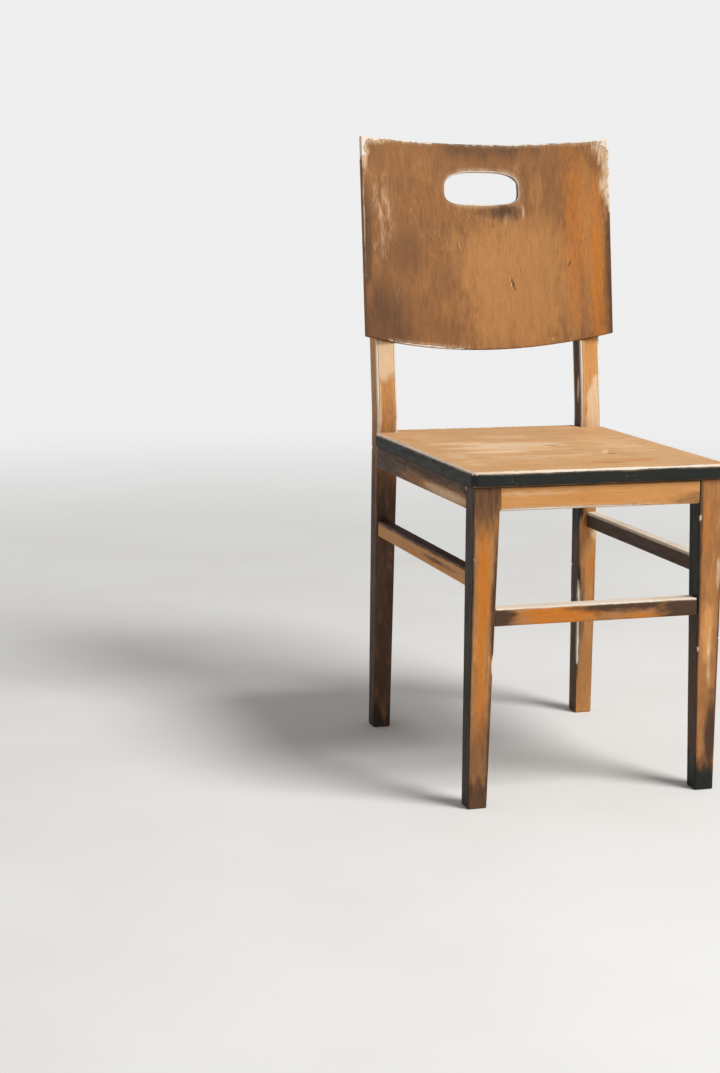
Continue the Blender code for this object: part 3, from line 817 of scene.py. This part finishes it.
def arc(centre, radius, start, end, steps):
    angles = [start + (end - start) * step / steps for step in range(steps + 1)]
    return [(centre[0] + radius * math.cos(a), centre[1] + radius * math.sin(a)) for a in angles]


def rear_leg_outline():
    """Upright to the seat, then bent back in an arc and straight to the top."""
    depth, foot = rear_sizes.full_depth, rear_sizes.foot_depth
    centre = (REAR_Y + BEND_RADIUS, SEAT_TOP + BEND_RISE)
    rear = arc(centre, BEND_RADIUS, math.pi, math.pi - BACK_RAKE, BEND_STEPS)
    front = arc(centre, BEND_RADIUS + depth, math.pi, math.pi - BACK_RAKE, BEND_STEPS)
    front_top = (front[-1][0] + (POST_TOP - front[-1][1]) * math.tan(BACK_RAKE), POST_TOP)
    rear_top = (front_top[0] + depth * math.cos(BACK_RAKE), POST_TOP - depth * math.sin(BACK_RAKE))
    points = [(REAR_Y - foot, 0.0), (REAR_Y, 0.0)] + rear + [rear_top, front_top] + front[::-1]
    points += [(REAR_Y - depth, APRON_BOTTOM)]
    return rounded(points, CORNER_ROUND)


def add_leg(node, side, outline, sizes, tone, marks, cutters=()):
    board = make_board([outline], sizes.full_width, FRAME_ARRIS)
    place = leg_place(side, sizes)
    return add_painted(node, board, place, frame_paint, ALONG_Z, tone, LEG_RUBBED, marks, cutters=cutters)


def cross_place(front, thickness):
    """Puts a layout along X, up and through the thickness, in the frame."""
    def place(points):
        return np.column_stack([points[:, 0], front + thickness / 2 - points[:, 2], points[:, 1]])
    return place


def side_place(middle):
    """Puts a layout along Y, up and through the thickness, in the frame."""
    def place(points):
        return np.column_stack([middle + points[:, 2], points[:, 0], points[:, 1]])
    return place


def add_cross_rail(node, sizes, tone, marks):
    """A rail from leg to leg across the chair; its own tenons stay hidden in the legs."""
    low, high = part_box(node)
    bottom_half = HALF_WIDTH - sizes.width(low.z) - FIT
    top_half = HALF_WIDTH - sizes.width(high.z) - FIT
    points = [(-bottom_half, low.z), (bottom_half, low.z), (top_half, high.z), (-top_half, high.z)]
    board = make_board([rounded(points, CORNER_ROUND)], high.y - low.y, FRAME_ARRIS)
    place = cross_place(low.y, high.y - low.y)
    return add_painted(node, board, place, frame_paint, ALONG_X, tone, RUBBED, marks)


def add_side_rail(node, tone, marks):
    """A rail from front leg to rear leg."""
    low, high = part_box(node)
    front_low, front_high = [FRONT_Y + front_sizes.depth(z) + FIT for z in (low.z, high.z)]
    rear_low, rear_high = [REAR_Y - rear_sizes.depth(z) - FIT for z in (low.z, high.z)]
    points = [(front_low, low.z), (rear_low, low.z), (rear_high, high.z), (front_high, high.z)]
    board = make_board([rounded(points, CORNER_ROUND)], high.x - low.x, FRAME_ARRIS)
    place = side_place((low.x + high.x) / 2)
    return add_painted(node, board, place, frame_paint, ALONG_Y, tone, RUBBED, marks)


def add_seat(marks):
    low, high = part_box("seat_panel")
    notch_x = HALF_WIDTH - rear_sizes.full_width - FIT
    notch_y = REAR_Y - rear_sizes.full_depth - FIT
    soft = CORNER_SHARE * SEAT_ARRIS
    right = [(high.x, low.y, SEAT_CORNER_RADIUS), (high.x, notch_y, soft), (notch_x, notch_y, 0),
             (notch_x, high.y, soft)]
    left = [(-x, y, radius) for x, y, radius in reversed(right)]
    corners = right + left
    outline = rounded([(x, y) for x, y, radius in corners], [radius for x, y, radius in corners])
    board = make_board([outline], high.z - low.z, SEAT_ARRIS)
    middle = (low.z + high.z) / 2

    def place(points):
        return points + np.array([0, 0, middle])

    return add_painted("seat_panel", board, place, seat_paint, ALONG_X, 0.45, RUBBED, marks, "seat_paint")


def shallow_arc(half_length, level, sagitta):
    """Points of a flat arc from left to right, whose middle lies a sagitta below its ends."""
    stations = [half_length * (2 * step / PANEL_STEPS - 1) for step in range(PANEL_STEPS + 1)]
    radius = (half_length ** 2 + sagitta ** 2) / (2 * sagitta)
    return [(x, level + radius - sagitta - math.sqrt(radius ** 2 - x ** 2)) for x in stations]


def slot_outline(middle):
    """The hand slot: a rounded arch over a flatter belly, run round with the wood on its left."""
    points = []
    for step in range(SLOT_STEPS):
        angle = -2 * math.pi * step / SLOT_STEPS
        cosine, sine = math.cos(angle), math.sin(angle)
        height, power = (SLOT_ARCH, SLOT_ARCH_POWER) if sine >= 0 else (SLOT_BELLY, SLOT_BELLY_POWER)
        across = math.copysign(abs(cosine) ** (2 / power), cosine) * SLOT_WIDTH / 2
        up = math.copysign(abs(sine) ** (2 / power), sine) * height
        points.append((across, middle + up))
    return np.array(points)


class BackLayout:
    """The raked layout of the back: Y = 0 is the front face of the posts, Z runs up them."""

    def __init__(self):
        front_radius = BEND_RADIUS + rear_sizes.full_depth
        self.origin_y = REAR_Y + BEND_RADIUS - front_radius * math.cos(BACK_RAKE)
        self.origin_z = SEAT_TOP + BEND_RISE + front_radius * math.sin(BACK_RAKE)
        self.bottom = (SEAT_TOP + PANEL_LIFT - self.origin_z) / math.cos(BACK_RAKE)
        self.top = self.bottom + PANEL_HEIGHT

    def place(self, across, behind, along):
        y = self.origin_y + along * math.sin(BACK_RAKE) + behind * math.cos(BACK_RAKE)
        z = self.origin_z + along * math.cos(BACK_RAKE) - behind * math.sin(BACK_RAKE)
        return np.column_stack([across, y, z])


def panel_board(grow, with_slot, spacing):
    low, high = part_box("backrest_panel")
    half = (high.x - low.x) / 2 + grow
    bottom = shallow_arc(half, back.bottom - grow, PANEL_BOTTOM_BOW)
    top = shallow_arc(half, back.top + grow, PANEL_TOP_DIP)
    outlines = [rounded(bottom + top[::-1], CORNER_SHARE * PANEL_ARRIS)]
    if with_slot:
        outlines.append(slot_outline(back.top - PANEL_TOP_DIP - SLOT_TOP_MARGIN - SLOT_ARCH))
    return make_board(outlines, PANEL_THICKNESS + 2 * grow, PANEL_ARRIS, spacing)


def panel_place(points):
    """Bends the flat panel to its radius and stands it on the rake, its ends let into the posts."""
    radius = PANEL_RADIUS + PANEL_THICKNESS / 2 - points[:, 2]
    back_radius = PANEL_RADIUS + PANEL_THICKNESS
    axis = HOUSING_DEPTH - math.sqrt(back_radius ** 2 - HALF_WIDTH ** 2)
    behind = axis + np.sqrt(radius ** 2 - points[:, 0] ** 2)
    return back.place(points[:, 0], behind, points[:, 1])


def turn_to(direction):
    """The turn that points Z in a direction."""
    return Vector(direction).to_track_quat("Z", "Y").to_matrix().to_4x4()


def screw_hole(node):
    """A short cylinder round the head of a screw in the back of a post."""
    outward = np.array([0, math.cos(BACK_RAKE), -math.sin(BACK_RAKE)])
    points = node_points(node)
    behind = points @ outward
    head = points[behind > behind.max() - HEAD_BAND]
    centre = Vector((head.min(0) + head.max(0)) / 2)
    bpy.ops.mesh.primitive_cylinder_add(
        vertices=SCREW_HOLE_SIDES, radius=SCREW_HOLE_RADIUS, depth=2 * SCREW_HOLE_DEPTH)
    hole = bpy.context.object
    hole.data.transform(Matrix.Translation(centre) @ turn_to(outward))
    return hole


def nick(across, along, height, slant, depth=0.4, pale=0.5):
    """A slanting cut in the paint of the panel's face, with a raised and rubbed lip on its left."""
    low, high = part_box("backrest_panel")
    marks = []
    for step, width in NICK_WIDTHS.items():
        middle = across - step * slant / (high.x - low.x)
        beside = middle - NICK_LIP / (high.x - low.x)
        up = along + step * height / 3 / (high.z - low.z)
        core = (width, height / 4)
        ring = (1.4 * width, height / 3)
        marks += [
            dab("pit", FRONT, (middle, up), core, depth),
            dab("umber", FRONT, (middle, up), ring, 0.35 + 0.6 * depth),
            dab("lip", FRONT, (beside, up), ring, 0.8),
            dab("scumble", FRONT, (beside, up), core, pale),
        ]
    return marks


def add_flake(name, piece, at, outward, length):
    """A flake of paint that curls up from a piece, at shares of the piece's box as seen from outside."""
    points = vectors(piece.data.vertices)
    low, high = points.min(0), points.max(0)
    outward = Vector(outward)
    start = Vector(low + np.array(at) * (high - low)) + outward * FLAKE_SEARCH
    spot, normal = piece.ray_cast(start, -outward)[1:3]
    outline = []
    for step in range(FLAKE_CORNERS):
        angle = 2 * math.pi * step / FLAKE_CORNERS
        radius = length / 2 * (1 + 0.28 * math.sin(2.3 * step * FLAKE_TURN + step * step))
        outline.append((radius * math.cos(angle), FLAKE_BREADTH * radius * math.sin(angle)))
    board = make_board([np.array(outline)], FLAKE_THICKNESS, 0.3 * FLAKE_THICKNESS, length / 12)
    stand = np.array(Matrix.Translation(spot) @ turn_to(normal) @ Matrix.Rotation(FLAKE_TURN, 4, "Z"))

    def place(points):
        free = np.clip(points[:, 0] / length + 0.5, 0, 1)
        up = points[:, 2] + FLAKE_LIFT * free ** 2.2 + 0.15 * FLAKE_LIFT * (points[:, 1] / length) ** 2
        along = points[:, 0] - 0.25 * FLAKE_LIFT * free ** 3
        flat = np.column_stack([along, points[:, 1], up + FLAKE_FOOT])
        return flat @ stand[:3, :3].T + stand[:3, 3]

    mesh = board_mesh(name, board, place)
    mesh.materials.append(piece.data.materials[0])
    flake = link_object(name, mesh)
    marks = [whole_face("peel", tuple(-normal)), whole_face("scumble", tuple(normal), 0.6)]
    wear_piece(flake, place(board.arrises), ALONG_Z, 0.9, 0.0, marks)
    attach(flake, "root")
    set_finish(flake, piece["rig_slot"])


back = BackLayout()
frame_paint = paint_material("brushed_frame_paint", srgb(138, 86, 44), srgb(212, 150, 86))
seat_paint = paint_material("brushed_seat_paint", srgb(196, 140, 82), srgb(232, 189, 140))
back_paint = paint_material("brushed_back_paint", srgb(118, 76, 42), srgb(186, 130, 74))
raw_wood = raw_wood_material("sawn_wood")
steel = steel_material("old_screw_steel")

for name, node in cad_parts.items():
    if name.startswith("corner_block"):
        node.data.materials[0] = raw_wood
    elif "screw" in name:
        node.data.materials[0] = steel


# Legs

# Umber all over the left faces, which are turned away from the key light: painted shade
painted_shade_left = whole_face("umber", LEFT)
dark_under = whole_face("umber", DOWN, 0.8)
hidden_sides = [
    band("umber", RIGHT, 0.0, 0.09, 0.8),
    band("umber", REAR, 0.0, 0.12, 0.9),
    band("amber", RIGHT, 0.35, 0.1, 0.7),
    band("umber", RIGHT, 0.52, 0.05, 0.7),
    dab("umber", RIGHT, (0.2, 0.75), (0.01, 0.12), 0.7),
    band("scumble", RIGHT, 0.65, 0.05, 0.6),
    dab("amber", REAR, (0.5, 0.7), (0.012, 0.13), 0.6),
    dab("umber", REAR, (0.2, 0.45), (0.008, 0.12), 0.7),
]

add_leg("front_leg_left", -1, front_leg_outline(), front_sizes, 0.45, hidden_sides + [
    painted_shade_left, dark_under,
    # Charcoal over the left face: deeper painted shade
    band("charcoal", LEFT, 0.5, 0.45, 0.56, 0.2),
    band("umber", FRONT, 1.0, 0.075, 0.7),
    dab("umber", FRONT, (0.95, 0.55), (0.01, 0.2), 1.0, 0.3),
    dab("umber", FRONT, (0.8, 0.2), (0.007, 0.14), 0.9, 0.3),
    dab("umber", FRONT, (0.0, 0.72), (0.004, 0.14), 0.8, 0.3),
    dab("amber", FRONT, (0.42, 0.7), (0.01, 0.1)),
    dab("amber", FRONT, (0.38, 0.45), (0.009, 0.16), 0.8),
    band("umber", FRONT, 0.15, 0.1, 0.5),
    band("umber", FRONT, 0.0, 0.075, 0.85),
    Mark("rubbed", (1.0, 0.0, 0.0), (0.012, 0.008, 0.01), 0.8),
    Mark("rubbed", (0.9, 0.0, 0.45), (0.008, 0.008, 0.02), 0.8),
    dab("lip", FRONT, (0.55, 0.62), (0.003, 0.008), 0.8, 0.5),
])
add_leg("front_leg_right", 1, front_leg_outline(), front_sizes, 0.40, hidden_sides + [
    painted_shade_left, dark_under,
    # Charcoal high on the inner left face: painted shade under the seat
    band("charcoal", LEFT, 0.8, 0.16, 0.9),
    band("charcoal", LEFT, 0.0, 0.07, 0.8),
    dab("umber", FRONT, (0.05, 0.6), (0.006, 0.26), 0.9, 0.3),
    dab("umber", FRONT, (1.0, 0.4), (0.005, 0.2), 0.8, 0.3),
    dab("amber", FRONT, (0.35, 0.85), (0.01, 0.06), 0.5),
    dab("tan", FRONT, (0.55, 0.52), (0.012, 0.07)),
    dab("scumble", FRONT, (0.62, 0.45), (0.005, 0.06), 0.7),
    dab("scumble", FRONT, (0.85, 0.72), (0.004, 0.04), 0.8),
    dab("umber", FRONT, (0.8, 0.17), (0.012, 0.08), 0.9),
    band("umber", FRONT, 0.0, 0.06),
    band("charcoal", FRONT, 0.0, 0.045, 0.8),
])

worn_post = Mark("rubbed", (None, 0.5, 0.62), (1, 0.08, 0.16), 1.15, None, 0.2)
housing_board = panel_board(FIT, False, CUTTER_SPACING)
housing = link_object("housing", board_mesh("housing", housing_board, panel_place))
posts = (
    ("rear_leg_left", -1, 0.9, (1, 2), hidden_sides + [
        # Dark umber below the seat on the front and left faces: grime and painted shade under the seat
        band("umber", FRONT, 0.23, 0.36, 0.9, 0.1),
        band("umber", LEFT, 0.23, 0.36, 0.9, 0.1),
        Mark("charcoal", (None, None, 0.0), (1, 1, 0.05), 0.6),
        # A dark band just below the back panel: painted shadow of the panel
        band("umber", FRONT, 0.7, 0.04, 0.5),
        worn_post,
        band("scumble", FRONT, 0.66, 0.04, 1.1),
        dab("scumble", FRONT, (0.1, 0.57), (0.006, 0.06), 0.9),
    ]),
    ("rear_leg_right", 1, 0.6, (3, 4), hidden_sides + [
        painted_shade_left,
        band("umber", FRONT, 0.08, 0.09, 0.35),
        # Charcoal down the left of the front face and on the inner left face below the seat: painted
        # shadow of the seat and aprons
        dab("charcoal", FRONT, (0.05, 0.43), (0.018, 0.075), 1.0, 0.3),
        band("charcoal", LEFT, 0.42, 0.1, 0.8, 0.3),
        dab("charcoal", FRONT, (0.1, 0.18), (0.008, 0.14), 1.0, 0.2),
        dab("amber", FRONT, (0.8, 0.27), (0.016, 0.05), 0.6),
        Mark("rubbed", (1.0, 0.0, 0.42), (0.012, 1, 0.06), 1.2),
        Mark("rubbed", (0.1, 0.0, 0.17), (0.012, 1, 0.11), 0.9),
        dab("scumble", FRONT, (0.8, 0.345), (0.01, 0.03), 0.8),
        worn_post,
        band("tan", FRONT, 0.62, 0.1),
        dab("scumble", FRONT, (0.7, 0.56), (0.018, 0.06), 1.6),
        dab("amber", LEFT, (0.25, 0.63), (0.01, 0.03), 0.9),
        dab("scumble", LEFT, (0.2, 0.6), (0.006, 0.03), 1.2),
        dab("umber", FRONT, (0.35, 0.2), (0.006, 0.11), 0.6, 0.4),
        dab("umber", FRONT, (0.95, 0.24), (0.004, 0.12), 0.6, 0.3),
        dab("scumble", FRONT, (1.0, 0.3), (0.003, 0.12), 1.0, 0.3),
    ]),
)
for node, side, tone, screws, marks in posts:
    holes = [screw_hole(f"back_screw_{number}") for number in screws]
    add_leg(node, side, rear_leg_outline(), rear_sizes, tone, marks, [housing] + holes)
    for hole in holes:
        bpy.data.objects.remove(hole)
bpy.data.objects.remove(housing)


# Rails

add_cross_rail("front_apron", front_sizes, 0.90, [
    dab("amber", FRONT, (0.45, 0.45), (0.1, 0.01), 0.35),
    dab("umber", FRONT, (1.0, 0.2), (0.05, 0.016), 0.55),
    band("umber", FRONT, 1.0, 0.003, 0.9, 0.1),
    dab("scumble", FRONT, (0.2, 0.7), (0.08, 0.006), 0.6),
    dab("peel", FRONT, (0.3, 0.0), (0.19, 0.0048), 1.0, 0.1),
])
add_cross_rail("rear_apron", rear_sizes, 0.3, [
    dark_under,
    dab("amber", REAR, (0.35, 0.4), (0.08, 0.012), 0.6),
    dab("umber", REAR, (0.9, None), (0.05, None), 0.7),
])
add_cross_rail("front_stretcher", front_sizes, 0.45, [
    whole_face("peel", UP),
    band("peel", FRONT, 1.03, 0.004, 1.0, 0.1),
    dab("umber", FRONT, (0.0, None), (0.04, None), 0.9),
    dab("umber", FRONT, (0.5, 0.4), (0.01, 0.008), 0.45),
    dab("umber", FRONT, (0.68, 0.9), (0.1, 0.013)),
    dab("umber", FRONT, (1.0, None), (0.085, None), 1.1),
    dab("amber", FRONT, (0.32, 0.4), (0.07, 1)),
    dab("amber", FRONT, (0.75, 0.1), (0.06, 0.007), 0.8),
])
add_side_rail("left_apron", 0.35, [
    # Umber over the left face, darkest under the seat's lip and towards the rear leg: painted shade
    whole_face("umber", LEFT, 0.35),
    band("umber", LEFT, 1.0, 0.022, 0.95, 0.3),
    dab("umber", LEFT, (1.0, None), (0.22, None), 0.9, 0.3),
    dab("tan", LEFT, (0.2, 0.2), (0.16, 0.014), 1.0, 0.3),
    dab("scumble", LEFT, (0.2, 0.25), (0.13, 0.009), 0.9, 0.3),
    dark_under,
])
add_side_rail("right_apron", 0.4, [painted_shade_left, dark_under])
add_side_rail("left_stretcher", 0.85, [
    whole_face("umber", UP),
    band("umber", LEFT, 1.0, 0.007, 1.0, 0.3),
    dab("umber", LEFT, (0.25, 0.45), (0.1, 0.004), 0.6),
    dab("amber", LEFT, (0.4, 0.3), (0.12, 0.007), 0.5),
])
add_side_rail("right_stretcher", 0.4, [
    painted_shade_left,
    whole_face("peel", UP),
    band("peel", LEFT, 1.0, 0.005, 1.2, 0.1),
])


# Seat

# Charcoal all round the seat's edge: a dark painted band that also stands for painted shade under the
# seat's lip
seat_edge_paint_and_shade = [whole_face("charcoal", side) for side in (FRONT, LEFT, RIGHT, REAR)]
seat = add_seat(seat_edge_paint_and_shade + [
    dark_under,
    Mark("rubbed", (None, None, 1.0), (1, 1, 0.006), 0.9, None, 0),
    Mark("peel", (None, 0.0, 1.0), (1, 0.0036, 0.003), 1.0, None, 0.15),
    Mark("peel", (0.0, None, 1.0), (0.0046, 1, 0.0036), 1.0, None, 0.15),
    Mark("peel", (None, 1.0, 1.0), (1, 0.009, 0.004), 1.0, None, 0.35),
    Mark("peel", (0.0, 0.0, 1.0), (0.014, 0.012, 0.003), 1.0, None, 0.5),
    dab("tan", UP, (0.34, 0.48), (0.14, 0.11), 0.85, 0.8),
    dab("tan", UP, (0.82, 0.5), (0.07, 0.12), 0.75, 0.8),
    dab("umber", UP, (0.62, 0.8), (0.11, 0.05), 0.2, 0.8),
    dab("umber", UP, (0.86, 0.22), (0.06, 0.05), 0.18, 0.8),
    # The next pale patch, near the middle of the seat top, is a painted highlight; the other pale smears
    # are paint
    dab("scumble", UP, (0.34, 0.54), (0.09, 0.06), 1.05, 1.0),
    dab("scumble", UP, (0.27, 0.4), (0.05, 0.03), 0.95, 1.0),
    dab("scumble", UP, (0.42, 0.28), (0.12, 0.04), 0.65, 0.8),
    dab("scumble", UP, (0.46, 0.74), (0.06, 0.03), 0.8, 0.8),
    dab("scumble", UP, (0.1, 0.3), (0.02, 0.12), 0.65, 0.8),
    dab("scumble", UP, (0.7, 0.6), (0.08, 0.03), 0.4),
    dab("amber", UP, (0.68, 0.14), (0.07, 0.022), 0.5, 0.8),
    dab("umber", UP, (0.6, 0.11), (0.02, 0.008), 0.4),
    dab("amber", UP, (0.85, 0.8), (0.03, 0.04), 0.35),
    dab("amber", UP, (0.06, 0.7), (0.014, 0.06), 0.45, 0.8),
    dab("pit", UP, (0.547, 0.525), (0.005, 0.003), 0.8, 1.0),
    dab("pit", UP, (0.562, 0.512), (0.0034, 0.003), 0.7, 1.0),
    dab("umber", UP, (0.552, 0.52), (0.012, 0.006), 0.8, 1.0),
    dab("umber", UP, (0.685, 0.29), (0.014, 0.008), 0.7, 0.8),
    dab("lip", UP, (0.54, 0.545), (0.009, 0.004), 0.8, 0.6),
    dab("scumble", UP, (0.54, 0.545), (0.009, 0.003), 0.8, 0.6),
    dab("pit", UP, (0.62, 0.4), (0.0035, 0.003), 0.7, 0.8),
    dab("umber", UP, (0.62, 0.4), (0.006, 0.004), 0.6, 0.8),
    dab("umber", UP, (0.3, 0.12), (0.008, 0.003), 0.6, 0.8),
])


# Back panel

nicks = nick(0.617, 0.31, 0.018, 0.0022, 0.75, 0.8) + nick(0.54, 0.59, 0.009, 0.0012)
nicks += nick(0.84, 0.41, 0.010, -0.0010) + nick(0.28, 0.53, 0.008, 0.0006, 0.3)
nicks += nick(0.41, 0.49, 0.014, 0.0014, 0.1, 0.75) + nick(0.465, 0.19, 0.010, -0.0014, 0.25)
layout = panel_board(0, True, SPACING)
panel = add_painted("backrest_panel", layout, panel_place, back_paint, ALONG_Z, 0.37, RUBBED, nicks + [
    dab("tan", FRONT, (0.92, 0.5), (0.03, 0.2), 0.75, 0.3),
    dab("tan", FRONT, (0.65, 0.32), (0.15, 0.18), 0.85, 0.3),
    dab("amber", FRONT, (0.87, 0.58), (0.035, 0.18), 0.48, 0.3),
    dab("amber", FRONT, (0.945, 0.36), (0.016, 0.22), 0.65, 0.3),
    dab("amber", FRONT, (0.25, 0.72), (0.05, 0.05), 0.25, 0.3),
    dab("umber", FRONT, (0.04, 0.08), (0.09, 0.13), 0.62, 0.25),
    dab("umber", FRONT, (0.0, 0.45), (0.018, 0.14), 0.7, 0.4),
    dab("umber", FRONT, (0.59, 0.655), (0.036, 0.02), 0.75, 0.5),
    dab("umber", FRONT, (0.52, 0.65), (0.04, 0.012), 0.5, 0.5),
    dab("umber", FRONT, (0.16, 0.45), (0.045, 0.055), 0.42, 0.4),
    dab("umber", FRONT, (0.5, 0.97), (0.12, 0.035), 0.55, 0.4),
    # A dark strip down the right end: painted shade where the bent panel turns away from the light
    dab("umber", FRONT, (1.0, 0.32), (0.012, 0.17), 0.72, 0.3),
    dab("tan", FRONT, (0.71, 0.74), (0.03, 0.045), 0.6, 0.4),
    dab("tan", REAR, (0.45, 0.3), (0.12, 0.1), 0.8, 0.4),
    dab("umber", REAR, (0.3, 0.65), (0.06, 0.05), 0.6, 0.5),
    dab("umber", REAR, (0.7, 0.12), (0.1, 0.04), 0.6, 0.5),
    dab("scumble", REAR, (0.6, 0.45), (0.05, 0.05), 0.5, 0.6),
    dab("peel", REAR, (0.52, 0.0), (0.05, 0.008), 1.0, 0.9),
    dab("scumble", FRONT, (0.08, 0.6), (0.03, 0.1), 0.42),
    dab("scumble", FRONT, (0.12, 0.42), (0.03, 0.09), 0.3),
    dab("scumble", FRONT, (0.0, 0.55), (0.0035, 0.16), 0.9, 0.3),
    dab("scumble", FRONT, (0.665, 0.655), (0.003, 0.018), 0.9, 0.3),
    dab("scumble", FRONT, (0.66, 0.74), (0.02, 0.05), 0.5),
    dab("scumble", FRONT, (0.6, 0.62), (0.01, 0.02), 0.6),
    dab("scumble", FRONT, (0.985, 0.8), (0.012, 0.05), 0.9),
    dab("scumble", FRONT, (0.0, 1.0), (0.06, 0.022), 1.0, 0.3),
    dab("scumble", FRONT, (0.0, 0.93), (0.02, 0.045), 0.9, 0.3),
    dab("scumble", FRONT, (1.0, 0.95), (0.034, 0.034), 1.0, 0.3),
    Mark("peel", (0.0, None, 1.0), (0.055, 1, 0.009), 1.0, None, 0.5),
    Mark("peel", (0.0, None, 0.97), (0.009, 1, 0.034), 1.0, None, 0.4),
    Mark("peel", (1.0, None, 0.985), (0.02, 1, 0.018), 1.0, None, 0.4),
    Mark("peel", (1.0, None, 0.8), (0.006, 1, 0.04), 0.9, None, 0.8),
    Mark("rubbed", (0.5, None, 0.78), (0.13, 1, 0.065), 0.85, None, 0),
    Mark("rubbed", (None, None, 1.0), (1, 1, 0.02), 0.75),
    Mark("rubbed", (0.28, None, 0.05), (0.09, 1, 0.03), 0.9),
], "back_paint")


# Loose flakes of paint

add_flake("paint_flake_1", seat, (0.67, 0.31, 1), UP, 0.016)
add_flake("paint_flake_2", panel, (0.78, 0, 0.06), FRONT, 0.015)


# Stage, lights and camera

def add_floor():
    bpy.ops.mesh.primitive_circle_add(vertices=FLOOR_SIDES, radius=FLOOR_RADIUS, fill_type="NGON")
    floor = bpy.context.object
    floor.name = "floor"
    floor.data.materials.append(floor_material("pale_floor"))


def add_key_light():
    lamp = bpy.data.lights.new("key", "AREA")
    lamp.shape = "DISK"
    lamp.size = KEY_SIZE
    lamp.energy = KEY_POWER
    light = link_object("key", lamp)
    light.location = KEY_PLACE
    light.rotation_euler = (Vector(KEY_TARGET) - Vector(KEY_PLACE)).to_track_quat("-Z", "Y").to_euler()


def set_world():
    """An even pale surround, at the background's level where it is seen."""
    world = bpy.data.worlds.new("surround")
    bpy.context.scene.world = world
    world.use_nodes = True
    nodes, links = world.node_tree.nodes, world.node_tree.links
    background = nodes["Background"]
    background.inputs["Color"].default_value = (1, 1, 1, 1)
    rays = nodes.new("ShaderNodeLightPath")
    strength = nodes.new("ShaderNodeMapRange")
    strength.inputs["To Min"].default_value = FILL_LEVEL
    strength.inputs["To Max"].default_value = BACKGROUND_LEVEL
    links.new(rays.outputs["Is Camera Ray"], strength.inputs["Value"])
    links.new(strength.outputs["Result"], background.inputs["Strength"])


def add_camera():
    lens = bpy.data.cameras.new("camera")
    lens.lens = CAMERA_LENS
    lens.sensor_width = CAMERA_SENSOR
    camera = link_object("camera", lens)
    turn = Euler((math.pi / 2 - CAMERA_PITCH, 0, -CAMERA_YAW)).to_matrix().to_4x4()
    camera.matrix_world = Matrix.Translation(CAMERA_PLACE) @ turn @ Matrix.Rotation(CAMERA_ROLL, 4, "Z")
    bpy.context.scene.camera = camera


add_floor()
add_key_light()
set_world()
add_camera()
bpy.context.scene.view_settings.view_transform = "Standard"
